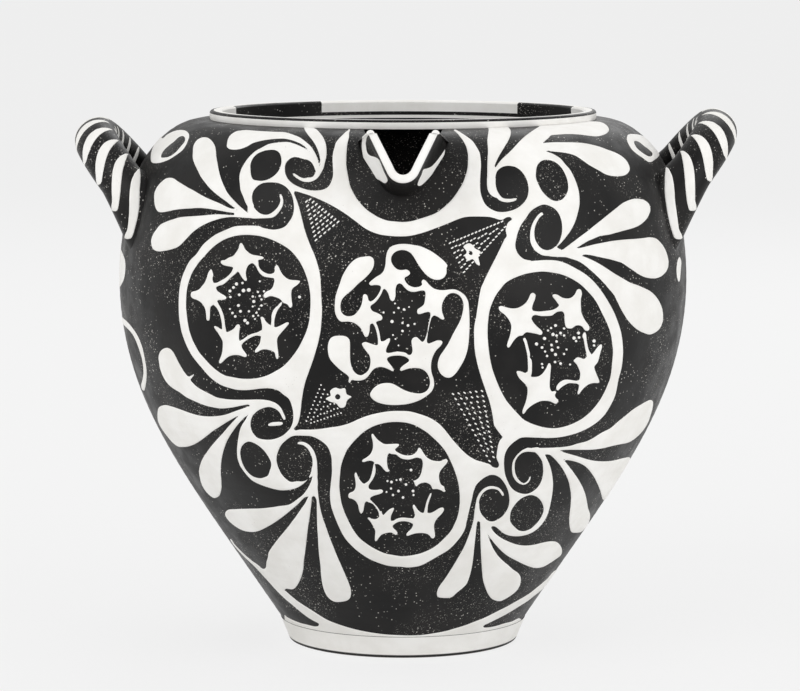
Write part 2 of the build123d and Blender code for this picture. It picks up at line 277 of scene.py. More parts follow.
fields_dark_px = {
    "star": """294,191.5 302,193 315,197.5 329,204 342,211.5 356,221.5 363,227 370,231 378,234 386,235.5
        395,236.3 405,236.3 412,235.5 420,233.5 428,231 444,225 459,218.8 466,217 474,216.5 490,217
        501,220 506,217.5 510,217 512,219.5 508,222.5 506,228 504.5,235 501.5,243 497,252 492.5,261
        488,270 484,279 481,288 479,298 477.5,308 476,318 474.5,325 474,333 475,352 479,370 485.5,390
        489,400 492,412 494,425 496,440 497,452 496.5,458 499,464 497.5,468 493,467 490,464.5 484,462.5
        476,460 468,455.5 460,448 452,439 445,430 438,423 430,418 421,414.5 410,411.5 400,411 390,411.2
        380,412.7 370,415 360,418.5 350,423 340,426 330,427.5 320,429 310,429.7 300,429.5 295.5,430.5
        294,428.5 297,425 299,420 300.5,412 301.5,402 303,392 305,383 308,374 312,363 315.5,352
        318.5,341 320.5,331 321.5,320 322,310 321.5,300 321,290 320.5,280 319.5,272 317.5,264 314.5,255
        311,247 307.5,238 304.5,229 302,219 299.5,209 297,201""",
    "top_disc": """350,130.5 349,137 347.5,143 346.8,150 346.3,158 346.3,165 347.5,173 348.8,180
        350.5,187 353,192 357,199 362,205 367,210 373,214 379,217.5 387,220.5 395,221.5 403,222
        411,221.3 419,219 427,216.5 435,213.5 441,209.5 447,204.5 452,199.5 456,194 459,189.5 462,184.5
        464,180 466,174 467.5,168 468,160 468,155 467,149.5 465.5,145 463,140.5 460,136.5 457,133
        453,129.8 440,121 360,121""",
    "left_disc": """246,234.8 254,235.2 262,236.5 270,239 278,242.5 285,246.5 291,251 296,256.5
        300.5,263 304,270 307,278 309,286 310.3,295 310.5,304 310,313 309,322 306.5,331 303,339
        299.5,346 295,353 289.5,360 283,366.5 275,371.5 267,375.5 258,378 249,378.8 241,378.6 232,377
        224,375 216,370 210,364.5 204,358 199,352 194.5,344 191,336 188.5,327 187,317 186,307 186.2,298
        187,289 189,281 192,273 196,266.5 200,261 205,255.5 211,249 217,244 224,239.7 232,236.7
        239,235.3""",
    "right_disc": """536,272 544,271.5 552,272.5 560,274 567,276.5 574,280 580,284 586,289.5 592,296
        597,303 601,311 605,319 608.5,327 611,335 612.3,344 613,352 612.3,361 611.5,370 610.5,377
        608,384 604.5,392 600,400 594,408 587,415 580,420 572,424 563,427 554,428.3 545,427.5 537,425.5
        529,422.5 523,419 518,414 512,407.5 506,400 501,391 497,382 493,371 490.5,361 488.8,350
        487.8,339 487.6,328 488.5,317 490,309 493,301 496,295 500,289.5 505,283.5 511,279.5 519,276
        527,273.5""",
    "bottom_disc": """397,422 405,422.5 413,424.5 420,428 427,432.5 434,438.5 441,445.5 446.5,453
        450.5,461 454,469 457,478 459,487 459.8,497 459.5,506 458,515 455,523 450.5,531.5 444,538.5
        437,545 429,550 420,553.5 411,555.5 402,556.3 393,555 384,553 375,549 367,544 360,538.5 354,531
        348.5,521 344.5,512 341.5,503 340,494 339.3,485 340,475 341,466 343.5,458 347,450 352,443.5
        358,437 365,431 373,426.5 381,423.8 389,422.3""",
    "upper_left_curl": """259,226 262,227.5 268,229 274,229.7 280,228.7 285,226.5 289,222 292,217
        293.8,211 293.8,204 292.5,197 290,191.5 286,187 281,184 275,182.5 266,182.5 260.5,184 256,187.5
        253,192 252,197 252.5,202 254,207 250,212 248,219 251,225""",
    "upper_left_eye": """250.3,167 250.8,163 253,158 257,154 262,151.5 268,150 274,149.8 278,151.5
        280.5,155 281.5,160 281,165 278.5,171 274.5,175.5 269,179 263,180.8 257,180.5 253,179.3 251,175""",
    "upper_left_comma": """284.8,168 286,163 289.5,159 294,157 299,157.5 303,158.8 308,160 311.5,162.5
        314,166.5 316,171 321,173 323.5,168 325,162 326.3,156 326.5,150 325.8,144 323.5,138 320,133
        316,129 311,126.5 330,126 349,127 344.5,133 340,137.5 336,142.5 334.5,147.5 333,153 332.5,160
        333,168.5 333,175.5 331.5,181 328.5,186.5 323.5,189.5 317,190.5 310,190.3 303,188.5 297,186
        292,183 288,179 285.5,174""",
    "upper_right_comma": """470,126 487.5,126 487.3,140 488,150 487.5,160 487.3,170 487.3,180 490,184
        495.3,181 495.3,177 497,171.5 500.5,168 505,166 510,165.8 515,166.8 520,170 524,174.5 527,180.5
        528.5,187 528.3,193 526.5,199 522,204.5 516.5,208.5 510,211 503,212 496.5,211.5 490,208.5
        485.5,204.5 482.5,199 480.5,192 480,183 480.5,172.5 481,165 480.5,158 479.5,152.5 476,146
        472,140.5 466,136 460,132 456,128""",
    "upper_right_wedge": """508.5,126.5 515,126.3 525,126 534,125.2 543,123.8 552,123 553,123.8 545,125
        538,127.5 533,130.5 528,134 523,138 518,143 513,148.5 508,153.5 503,158 499,162.5 496.5,166
        495.3,167.7 494.6,166 496.5,161 499,156 502,151 505,146 507.5,142 509.5,138 510.7,134 510.5,130""",
    "upper_right_eye": """536,172 537,166 540,162 544,160 549,160 554,161.5 559,165 563,170 566,176
        568,183 568,190 566,195 562,199.5 557,201 552,200 547,196.5 542,191 538.5,184.5 536,178""",
    "upper_right_curl": """545,204.5 551,206.5 556,210 560,216 562,224 562,232 560,240 557,245 553,248.5
        549,250.5 547,253 552,256 560,256.5 568,258 568,262.5 555.5,260.4 543.7,260.1 535,260.7
        525,259.5 520,256 517,252 515.3,246 516,240 518,232 521,225 526,218 530,212 535,208 540,205.5""",
    "lower_left_curl": """239,391 249,390.3 260.3,388.8 270.4,388.6 278.3,390.8 283.3,394.7 288.7,399
        292,406.5 293.3,414 293,421 291,427 287,432 282,436 276,438.5 270,439.7 264,439.5 258,438
        254,434.5 251.5,430 250.5,425 251,420 253,415 256,411.5 256,404 252,400 240,399""",
    "lower_left_eye": """240.5,450 242,446 245,443 249,441.5 254,443 259,446 264,450.5 268,456 271,462
        271,467 269.5,471.5 268,475.5 264,477.5 260,478.3 254,477 249,473.5 245,468.5 242,462 240.5,456""",
    "lower_left_comma": """276.5,461 277,455 279,449 282,444 287,439.5 292,436.3 297,435.5 303,435.7
        310,436 316,438 322,441.5 327,446 330,452 331.5,458 331.7,466 330.5,474 330,482 330,494 328,500
        320,500 318,490 317,477 316.5,468 312.5,466 311.5,471 309.5,476 306.5,480 302,481.5 297,481.3
        291,482 286,479 281.5,474 278.5,468""",
    "lower_right_curl": """522,437.5 516,440.5 511,444.5 507,449.5 504.5,456 504,465 505,474 508,482
        512,488.5 518,492.5 525,494 531,492.5 537,488 541,482 543,474 543,466 541.5,460 538,455 535,452
        532,448 545,447 560,446.5 558,439 545,438 533,437.5""",
    "lower_right_eye": """510,517 511,511 514,506 518,501 524,497 531,495 537,497 541,501 543.5,507
        543,513 540,519 536,524 531,528.5 525,531 519,530.5 514,526.5 510.5,522""",
    "lower_right_comma": """471.7,500 474,490 478,483 483,478.5 489,475.3 494,475 499,477 503,481
        507,488 509,495 509.3,503 507,510 502,516.5 496,520.5 491,521.5 486,519.5 482,515 479.5,509
        479,503 476,503 475,509 474.3,515 473,523 469,531 466,526 467,520 469,511""",
}

motifs_white_px = {
    "upper_left_hook": """248,212 248,206 253,207 257,211 261,213.8 266,214.8 270,213.8 274,211 277,208
        279.5,204 280.5,200 279.7,197 279.3,194.3 281,194 282.5,197 283.3,201 282.5,206 280,210.5
        277,214.5 273,217.3 268,218 262,218.3 256,218.5 250,217.7""",
    "upper_left_stroke": """303,124 304,128 306,132 309,136 313,141 316.5,147 318.5,152 320,158
        320.3,163 319,168 316,171 314.5,174.5 312,177.3 308,177.5 305,178.3 301,177.5 297,175 294,173.3
        292.5,174 294,176 298,179 303,181.5 309,182 314,180.5 318,177.5 321,173 323.5,168 325,162
        326.3,156 326.5,150 325.8,144 323.5,138 320,133 316,129 311,126.5 309,123""",
    "upper_left_leaf": """227,144 228,139 231,134.5 236,131.5 241,130.5 247,130 256,130.8 265,131.3
        273,131.8 283,132 288,133 294,135 300,137.5 306,142 310.5,146 314,151 317,157 318.5,162 319,166
        315,160 311.3,154.5 310,152 307,148.5 303,145 297,142 290,139.7 283,138.6 275,138.9 267,139.7
        260,141 253,143 247,146.5 240,149 234,149.6 229.5,149 227,146.8""",
    "upper_left_petal_1": """192.7,157 192.9,152 193.2,147 195,142.5 198.5,139 203,137.3 207.5,137.7
        211.5,140.5 214.5,145 215.8,150 216.2,156 217.3,162 218.3,168 219.5,173.5 221.5,180 224,186
        227,192 230.5,196.7 234.5,201 239,205.5 243,209 247,212.5 250,214.8 254.5,215.5 256,218
        246,217.5 240,213.5 237,209.3 234,207.3 230,204.5 225,200.5 220,197 215,193 210,188.5 205.5,183
        201,177 198,171 195.5,166 193.5,161""",
    "upper_left_petal_2": """154.3,200 154.2,195 155.5,190 158.5,185 162.5,181 166,178.5 170,177.7
        174,178.6 178,181.5 183,184.5 188,187.5 194,190.7 200,194.3 207,198 214,201 220,203.5 226,206.5
        231,208.5 237,210 244,212 248,217 240,215 234,213 227,212 220,210.7 212,209.3 205,208.3 197,208
        190,208.5 182,209 175,209.8 168,211.3 162,212.3 158,211.5 155.5,207.5 154.5,203.5""",
    "upper_left_petal_3": """239,214.3 231,215 224,214.6 217,214.3 210,214.8 203,215.5 196,216 188,216.5
        180,217.3 173,219.3 166,221.8 160,225 156,230 153,234.5 151.2,240 151.5,245 153,249 157,251.2
        162,251.3 168,250.2 174,248.5 178,246.8 183,242.5 188,237 193,232 199,227.5 206,223.7 214,220.5
        221,218.4 230,217 240,217.3 250,217.9 254,215 246,213""",
    "upper_left_oval": """151,160 151.3,155 153,149 155.5,144 158,140 161,138 163.5,138.7 167,135.5
        172,132.5 178,130.3 184,130.2 188,132.5 189.2,136 188,140.5 186,145 183,149.5 179,153 174,156.5
        168,160 161,162.5 155,163.3 152,162.5""",
    "upper_right_hook": """487.3,176 487.2,187 489,192.5 493,196.5 497,198 499,200 503,201.7 508,202.3
        513,201.5 516,200.3 517.3,198.5 515,198.3 510,198.9 505,198.6 502,197.5 499,194 496.5,189
        495.5,183 495.3,177 491,174""",
    "upper_right_low_hook": """543,213 541,212.5 539,214 536,217.5 533,222.5 531,228 530,235 530.3,241
        532,246 535,250.5 539,253.5 543,255.5 549,256 558,256 561,252 556,246.5 553,248.5 549,250
        545,250 541,248 537.5,244 535,239 534.3,233 535,227 537,222 540,217 543.5,214.5""",
    "upper_right_leaf_1": """545,121 560,120.3 573,121 584,121 592,121.4 600,122 605,124 608,127 609,130
        607,133 603,135 597,136.3 590,135.8 583,134.9 575,134.2 567,134 560,134.4 553,135 547,136
        541,137.6 536,139.6 531,141 526,143.2 522,146.5 510,160 498,168 500,162 515,147 528,134
        538,127.5""",
    "upper_right_leaf_2": """522,147.3 526,146.8 532,145 538,143.8 545,142.8 553,142.3 561,142.2
        569,142.3 577,142.5 585,143.3 592,144.7 600,146.8 607,149.5 614,152 620,155 625,159 628.5,164
        629.8,169 628,173 624,175.5 618,176.3 611,175.8 605,174 600,171 595,168.3 590,165.5 585,162
        580,158.5 575,155.5 569,153.5 563,152.5 556,151.8 551,151.3 546,151.2 535,160 515,160""",
    "upper_right_petal_1": """548,256 552,253.5 558,252.3 563,249.5 569,245 575,240.5 581,236 587,231.5
        592,227.5 597,223.5 602,219.5 607,215.5 612,211.5 617,207.5 622,203.5 627,201 633,199 639,198.8
        645,200.5 649,204 650.3,209 649.3,214 646.5,219 642,223.5 636,227 630,229 623,230.8 616,232.8
        608,234.8 600,236 594,238.5 588,241 583,244 578,247 574,249.5 572,256 562,257""",
    "upper_right_petal_2": """566,252 574,248.7 580,248 588,246 596,244 604,242.5 612,241 620,240
        628,239.3 636,238.8 644,238 650,237.3 656,238.5 661,243 665,249 667.5,256 668.5,263 667,270
        663,275 658,277.8 653,278.5 646,277.5 640,275 634,271 628,267 622,263 616,261 610,259.3 604,258
        597,256.5 590,255 584,254.5 579,255 572,258""",
    "upper_right_petal_3": """570,252 579,255 585,257 591,259.5 597,262.5 603,266 609,270 616,274.5
        623,278.5 630,282.5 637,285 644,288 650,291 655,295.5 659,301 662,308 663,315 662.5,322 660,328
        656,332 650,334.5 644,333 638,330 632,325 627,319 622,311 618,303 614,295 609,289 603,282
        597,276 591,270.5 585,265.5 579,261.5 572,259 565,257 556,256""",
    "upper_right_oval": """627,137 628,134.8 631,134 636,134.5 641,136 646,139 650,143 655,146.5
        658.5,149 660.5,152.5 659,156 655,159.5 651,162 647.5,161.5 643,158 637,154 632,149.5 628.5,144
        627,140""",
    "right_edge_strip": """679.5,257 681,262 680.5,270 680,278 679,282 677.5,279 676.5,272 677,264
        678,259""",
    "left_edge_strip": """120.5,250 122,251 124,256 125.5,262 125.5,270 124.5,278 122,285 119.5,289
        117.8,288.5 118,280 118.3,270 118.8,260 119.5,253""",
    "left_low_strip": """118,314 121,316.5 126,320.5 131,326 136,333 140,341 143,350 145,360 146.5,370
        146.5,378 145.5,386 144.5,391 142.5,389.5 141.5,385 142.5,380 143.5,373 143,365 141.5,357
        139,349 136,341 132,333.5 127,328 123,324.5 120,323.5 118,322""",
    "lower_left_petal_1": """159,362 158.5,357 160,352 163,349 167,347.8 171,349.5 174,353.5 177,359.5
        180.5,366 184,371.5 187,375.5 189.5,376.5 194.5,373.8 192.5,377 190.5,380 193,383 197,387
        203,390.5 210,394 217,397.5 225,399 233,399.7 242,399.8 250,399.7 258,399.5 266,400 272,401.5
        277,404 281,408 283.5,413 285.5,418 285,420 283.5,419.5 281.5,416 279.3,412 275,408.7 269,406.9
        263,408.2 257,411.2 253,415 249,413 250,405 242,405.5 235,407 228,408 221,408.5 214,407.5
        207,406 200,403.5 193,400.5 186,397 180,392.5 174,389 169,385 165,380 162,374 160,368""",
    "lower_left_petal_2": """158,409.5 160,406.5 165,405 170,406 175,407.5 182,410 190,413 199,415.5
        208,416.5 218,416 226,414.5 233,412 240,409.5 247,407 253,405.7 254,410 248,414 240,414.8
        234,418 227,422 220,426.5 213,431 206,436.5 200,441 194,444.5 188,446.5 181,447 177,446 172,442
        167,436 162,429 158.5,422 157.5,416""",
    "lower_left_petal_3": """249,413.7 245,417 240,422 236,427 231,434 227,441 224,449 222,457 221,465
        220.8,473 221.3,480 221.5,486 221,491 219,496 215,498 211,496.5 206,491.5 202,485 200,478
        199,471 200.5,464 203,458 207,452 211,446.5 217,439.5 223,433 229,426 235,419.5 240,415 246,410
        253,409""",
    "lower_left_dash": """267.5,425 271,422.7 276,422 281,422 283,423 281.5,425 276,425.7 270,426""",
    "lower_left_hook": """296.5,443.5 299,442 302,441.7 305.5,442.7 309.5,445.3 313,449.5 315.3,454.5
        316.7,460 317.2,467 317.3,478 314,478 311.5,470 312.6,465 312.3,459 310.5,453.5 307.5,448.5
        303.5,445.3 299.5,444.3""",
    "lower_left_petal_4": """225,514 227,510.5 231,509.3 240,509 250,508.7 260,508.5 270,507.5 280,506
        288,505 293,502.5 297,499.5 301,496.5 304,493.5 307,489.5 309.5,485 311.5,480.5 313,476 317,476
        317.5,488 313,494 307.5,496.5 304.5,497.5 302,500 297,505 291,510 285,515 279,519.5 273,523.5
        267,527 261,530 255,531.8 249,531.8 243,530.5 237,527.5 231,523 227,518.5""",
    "lower_left_petal_5": """313,490 308,497.5 305,503.5 301,509 297,515 292.5,521 288,527 283,533
        278,539 273.5,545 270,550 268.5,553 268,557 266.5,562 266,567 264.5,568.7 262,568.5 258,565
        253,561.5 248,557.5 243,553 238,548 234,543.5 232,540 230,539 233,544 237,549 242,554.5
        247,559.5 252,564 257,569 262,574.5 267,580 272,585.5 277,591 282,596 290,603 305,613 306,608
        296,601 289,595 286,592.5 284.5,590 286.5,588.7 289,589 292,589.3 295,588 298,584 300.5,579
        302.5,573 303.5,567 304,560 305,553 306,545 307,536 308,527 309.5,518 310.5,510 311.5,502
        312,497 315,495 316,488""",
    "lower_left_petal_6": """316.5,500 316.8,508 317,518 317.3,528 318,538 318.5,548 319.5,558 320.5,566
        321,574 322,582 324,590 327,596 331,600 336,602 342,601.7 347,600.5 350,598 351,593 350.5,588
        348,581 345,574 341.5,566 337.5,557 333.5,547 329.5,537 326,527 322.5,517 320,507 318.5,497
        317.5,487 317,476 313,480 314,494""",
    "lower_right_leaf": """522,447 530,448 540,448 550,447.8 560,447.3 570,446 578,443.5 586,441.5
        594,437.5 602,432.5 610,428.5 617,422.5 625,416 633,409.5 641,404.5 648,400.5 651,400 653,402
        652.5,408 650.5,415 648,422 644,429 639,435 633,440 627,443 620,444.3 612,446 604,448 596,449.3
        588,449.8 578,449.8 568,449.8 560,450.7 556,455 545,454 538,452""",
    "lower_right_hook": """560,447.5 550,448 540,448 530,448.2 524,449.3 519,453 515,457.5 512.5,463
        512,470 513,476 516,481 520,484 524,484.7 527.5,483.3 530,480 530.8,477 529.8,476.5 528.5,479.5
        526.5,482 523.5,483 520.5,481.5 517.5,478 515.3,473 514.5,467 515.3,461 518,456.5 522,453
        527,451.7 533,452 540,452.5 548,453""",
    "lower_right_petal_1": """552,452 560,451.3 566,453 573,455 580,457 588,459.5 596,461 604,461.3
        612,460.8 618,459.5 624,458 629,457.3 629.5,460 626,467 622,475 617,483 612,491 608,498
        605,500.7 602.5,499 601,493 598,485 594,477 589,470 584,465.5 578,462.5 572,460.8 563,459.3
        556,457""",
    "lower_right_petal_2": """563,459.5 567,464 571,469 575,474.5 579,480.5 583,488 585.5,495 587,502
        588,508 590,514 589.5,520 586,527 581,532 575,532.8 571,531.5 569.5,525 569.3,518 570,511
        570.8,503 571,495 570,488 568.5,481 565,473 561,466.5 557,461.5 551,455.5 545,452 552,450""",
    "lower_right_low_hook": """474,520 474.5,512 475.5,505 477,498 480,492.5 484,488.5 489,486.3
        494,486.3 499,488 502.5,491.5 504,495 502.5,496 500.5,493 497.5,490 493,488.8 488,489.5
        483.5,492.5 480.5,497 479,502 479.5,509 482,515 486,519.5 483,523 478,521""",
    "lower_right_petal_3": """483,518 491,526 491,527.5 494,532 499,536.5 505,540 512,543 519,545
        527,545.5 535,544.5 543,542.5 550,541.3 556,541.8 560,545 562,550 561,555 556,559 550,563
        544,566.5 537,568 530,566.8 522,563.5 514,559.5 507,555.5 501,550.5 495,544 490,537.5 486,530
        483.5,524 482,520""",
    "lower_right_petal_4": """480,521 480.3,530 480.5,540 480.8,550 481.3,560 482,570 483,580 485.5,588
        488,594 491.5,598.5 496,600.7 501,601 507,598 513,594 518,589 520.5,583 520.5,577 518,573
        513,569.5 508,565 502,560 497,554.5 493,548 489.5,540 486.5,532 484,525.5 483,520 480,516""",
    "lower_right_petal_5": """477.5,520 476.3,528 475.5,536 474.5,545 473.5,555 472.5,563 471,571
        469,578 466.5,584 462,588.5 457,592.5 452,597 447,598 441,597.7 437.5,596.5 437,592 439.5,586
        444,580 449,572.5 454,564.5 459,556 463.5,548 467,540 470,532 472.5,524 474,517 475,508 478,506
        479.5,513""",
    "low_band": """284,590 290,595 295,599 301,603.5 309,608.5 316,613 323,617.5 332,622 342,625.5
        352,628.5 363,631 374,633 386,634.5 398,635.2 410,635.5 422,635 434,633.3 446,631 456,628
        466,625 475,621.5 485,617.5 495,612.5 505,607.5 515,602 523,597.5 530,593 537,587.5 543,582.5
        548,578 552,573 555,570.5 556,572 552,577.5 547,584 541,590.5 534,596 527,601.5 519,606.5
        511,611.5 503,616 495,620 488,623.5 483.5,625.5 484,627.5 489,627.3 496,626 504,623.5 512,621.5
        521,619 519,640 460,655 400,665 340,655 292,640 286,625 284.5,615 287,617 293,620 300,622.8
        308,624.8 314,626.3 318,626 319,624 317,622.5 313,620.5 308,617.5 302,613 296,608 290,603
        284,597""",
}

slots_dark_px = {
    "upper_left_oval_slot": """161,157 162,153 165,149 169.5,145 174,141.5 179,137 183,136 185,138
        184.5,142 182,145 180,147.5 177,151 173,154.5 168,157 163,157.7""",
    "upper_right_oval_slot": """634,142 635.5,141 639,142 644,146 649,150 652,153 652,155.5 649.5,156.5
        645,154.5 640,151 636,147""",
}

rosette_px = {
    "centre_rosette": """366,256.5 370,256.3 373.5,259 374,264 372.5,269 369,274 364,279 358,284 352,290
        346,295 342,299.5 340.5,305 341,311 344,315 349,316.3 354,315 358,311 361,306 362.5,300
        363,295.5 365,294 367.5,296 368.5,300 370.5,301.5 374,299.5 377.5,295.5 380,291 381,287.5
        379.5,285.5 375,285 371,285.5 369,283.5 371,281 376,277 381,274 384,270 385.5,264 386,257
        387.5,251 390,247.5 394,245.3 400,244 407,244 414,245 421,246.5 428,249.5 434,253 440,257.5
        444.5,261.5 447.5,265.5 446.5,268 446.5,273 444,277.5 439.5,279.7 434,279.5 429,277 424.5,273
        420.5,268 417,262.5 413.5,256.5 410,252.5 405,250.3 399.5,250.3 394.5,252.5 391.5,256.5
        391.3,261.5 394,266.5 398,269.5 402.5,270 406.5,269.5 409.5,271.5 410,274 407.5,276 404.5,278
        405.5,281.5 408.5,285 413,287 418,287 422,285 421.5,282 423,279.5 426,281 429.5,285 434,288.5
        439.5,290 445,290 450,289.5 455,289.5 460,291.5 465,295.5 468,301 469,308 469.5,318 469.5,328
        469,338 468,347 466,355 463,362 459.5,368 456,373 451,377.3 445.5,377.3 440.5,373.5 438,368
        438,362 440,356 444,350 448,344 452,336 456,328.5 460,321 462.5,313 463.5,305 462,299 458,294.5
        452.5,293 447.5,295 444,299.5 442,305 442,311 443.5,316 444.5,319 442,319.5 438,317 434,315.5
        431.5,318 430,323 428.5,330 427.3,337 427,342 429,343.5 433,342 437,340.5 441,340.5 442.5,342.5
        440.5,346 436.5,350 433.5,355 431.5,361 431,368 432,374 433.8,380 434,386 431.5,391.5 426.5,396
        420,400 412,403 404,404.5 395,405 386,404.5 378,402.5 372.5,399 370,395 371.5,391 375,387
        380,384 386,383 392,383.5 397,386 402,389 408,391.5 414,393 420,393.5 425,392 428.5,388.5
        430,383 429,377 426,372 421,368.8 415,368 409,368.5 404,370 401,371 400,369 402.5,366 406,363.5
        409,361 408,358.5 404,356.3 398,355.5 392,356 388,357.5 387,359.5 389,363 391.5,366 393.5,369.5
        393,371.5 389,369.5 384,367.5 379,367 374,369 370.5,373 366.5,378 361,380.5 355.5,380.5
        351.5,380 350,383 348.5,381.5 349,377.5 346.5,374.5 341,370.5 335,365 330,359 328,352 328,345
        330,339 334,336.3 340,335.7 346,336.5 349.5,340 350,347 350,354 350.5,362 352.5,369 356,373.5
        360.5,375.3 365,373.5 369,369 370.5,362 369.5,355.5 366,351 363,346.5 362,343.5 365,342 369,343
        374,344.7 377.5,345 378,342 377.5,336 376,330 374.5,326 372.5,323.5 370,325 369.5,331 368,336
        365.5,337 363.5,334 361.5,329.5 358,325.5 353,322.5 347,321.5 341.5,321.7 337.5,318.5 335,312
        334.8,305 335.5,297 337.5,290 340,283 342,277 345,271 349,265 353.5,260.5 359,257.5""",
}

rosette_heart_px = {
    "rosette_heart": """383.5,289 386,290 388.5,294 390,299 392,301 394,300.5 395.5,296 395.5,290
        396.5,285.5 399,283.5 402,284.5 405,288 409,291 414,292 419,291 423.5,290.5 425.5,293 425,299
        424,304 421,307 417.5,309.5 417.5,313.5 420.5,314 425,312.5 429,312 430.5,314.5 429.5,320
        428,327 427,333 425,339 422.5,342 419.5,339.5 416.5,337 413,338 411.5,341 412,346 412.5,351
        411,354.5 408.5,355 406,353 402,352 397,351.5 392,352.5 388,353 386,351.5 387,347 389.5,342
        390,338.5 388,338.5 384,341 381,341 380,336 379,331 377.5,326 376,322.5 378,321 381,320.3
        382.5,318 381,315 376,312.5 372.5,311 370.5,308 371,305.5 374.5,303 378.5,298.5 381.5,293.5""",
}

left_stars_px = {
    "left_top_star": """241.5,243 243.5,245.5 245,249 248,252 252,254.5 257,255.5 262,256.5 264,258
        262,259.3 258.5,260 258,262 257,267 253,263.3 250,264 247.5,266.5 246,271 246,276 247,280
        245.5,281 243.5,279.5 241,276 239,272.5 237,271.5 235,273 233,270 233,267.5 230,266.5 226,265.8
        222.5,264.5 220.8,262.5 221.5,260.5 225,260 229,257.5 233,256 236,252.5 238.5,248.5 239.3,245
        240.3,243.3""",
    "left_arc_1": """255,258 258.2,261.5 258.5,265 260,268.5 263,271.5 267,273.5 270.5,274 273.5,273
        277,272 278,279 273,278 269,277.5 264,276.5 260,273.5 257.5,269.5 255.5,265.5 252,261""",
    "left_right_star": """274.7,271 274.7,267 276,265.3 277.5,265.3 279,267.5 281,272 284,276 288,279
        292,280 297,280.3 300,281 299.5,282.7 296.5,285.5 293,288 291.5,291 291.3,296 291.8,301
        292.3,305 291.5,307.3 289.5,307.5 288,305 285.5,303.5 283.5,303 281.5,300.5 279,298.5 275,297
        271,296 267.5,297 265.5,298 263.5,296.5 264,294 266.5,291.5 270,290 272.5,287.5 274,283
        274.3,279.5 273,276""",
    "left_arc_2": """282,302 281.5,305 279,308 277,311.5 275.3,316 274.3,321 274,327 271.5,328 271,325
        271.5,320 271.5,316 272.5,312 275,308 278,305.5 280,303""",
    "left_low_star": """262,325 261,320 260.5,317.5 262,316.7 264,318 265.5,321 268,323.5 271,325.5
        274.8,327 277,327 280.5,325.5 284,323.7 287,322.3 289,323 288,325 284.5,329 281,333 278.3,336.5
        277,340 277.3,345 278,351 278.5,356 278,358.7 276.5,358.7 275.5,356 274.8,353 272.5,351 269,350
        265,349.3 261,350 257,352.3 255.3,352.5 255,350.5 257,347.5 259.5,344 260.5,340 261,336 261,332
        262,329.5""",
    "left_arc_3": """240.5,340.5 243.5,339 247.5,336 252,333.8 257,332.5 262,330.5 264,336.5 257,335.5
        252,337 247.5,339.5 243.5,342.5 240.5,346 237,344""",
    "left_foot_star": """230,331 234,328.5 236.5,325 238.5,324.3 240,326 239.3,331 239,335 239,339
        240,342 241.5,345 242,348 244,351 246.5,354.5 246.5,356.5 244.5,357 240,355.5 235,355 230,356
        226,358.5 222.5,362 220.5,363.5 219,362.5 219.5,360 221.5,355 222.5,350 222.8,345 222.5,341
        220.5,337 218,333 215.5,329.5 214,327 215,326 218,327.3 220.5,329 223,329.5 225,330 227,332""",
    "left_arc_4": """216,300 218.5,304 221,308.5 223,313.5 224.3,319 225,325 226,332 222.5,331 222,325
        221.3,320 220,315 218,310 215,306 211,303""",
    "left_left_star": """210.5,307 210,311 209.8,316 209.5,319.5 208,320.7 206.5,319.5 206.2,315
        205.5,310 203.5,305.5 200.5,302 197,300 193,298.5 191,296.5 190.8,294 192,291.8 196,290.8
        199.5,289 202,286 204.5,283 206.5,278.5 208,273.5 210,270 211.5,269.5 212.5,272 213.3,275.5
        212.5,278 213,281.5 214.5,284 216.5,286.5 216,288 217.5,291 221,293.5 224.5,295.5 226.3,297.5
        225.5,299.3 222,300 217.5,300.3 215,303 212.5,305.3""",
    "left_arc_5": """212,283.5 217,282.7 221,280.5 225,278.3 228.5,275.5 231.5,272 234,267.5 238,271
        231.5,277 227.5,281 223,284.5 219,285.7 213,288""",
}

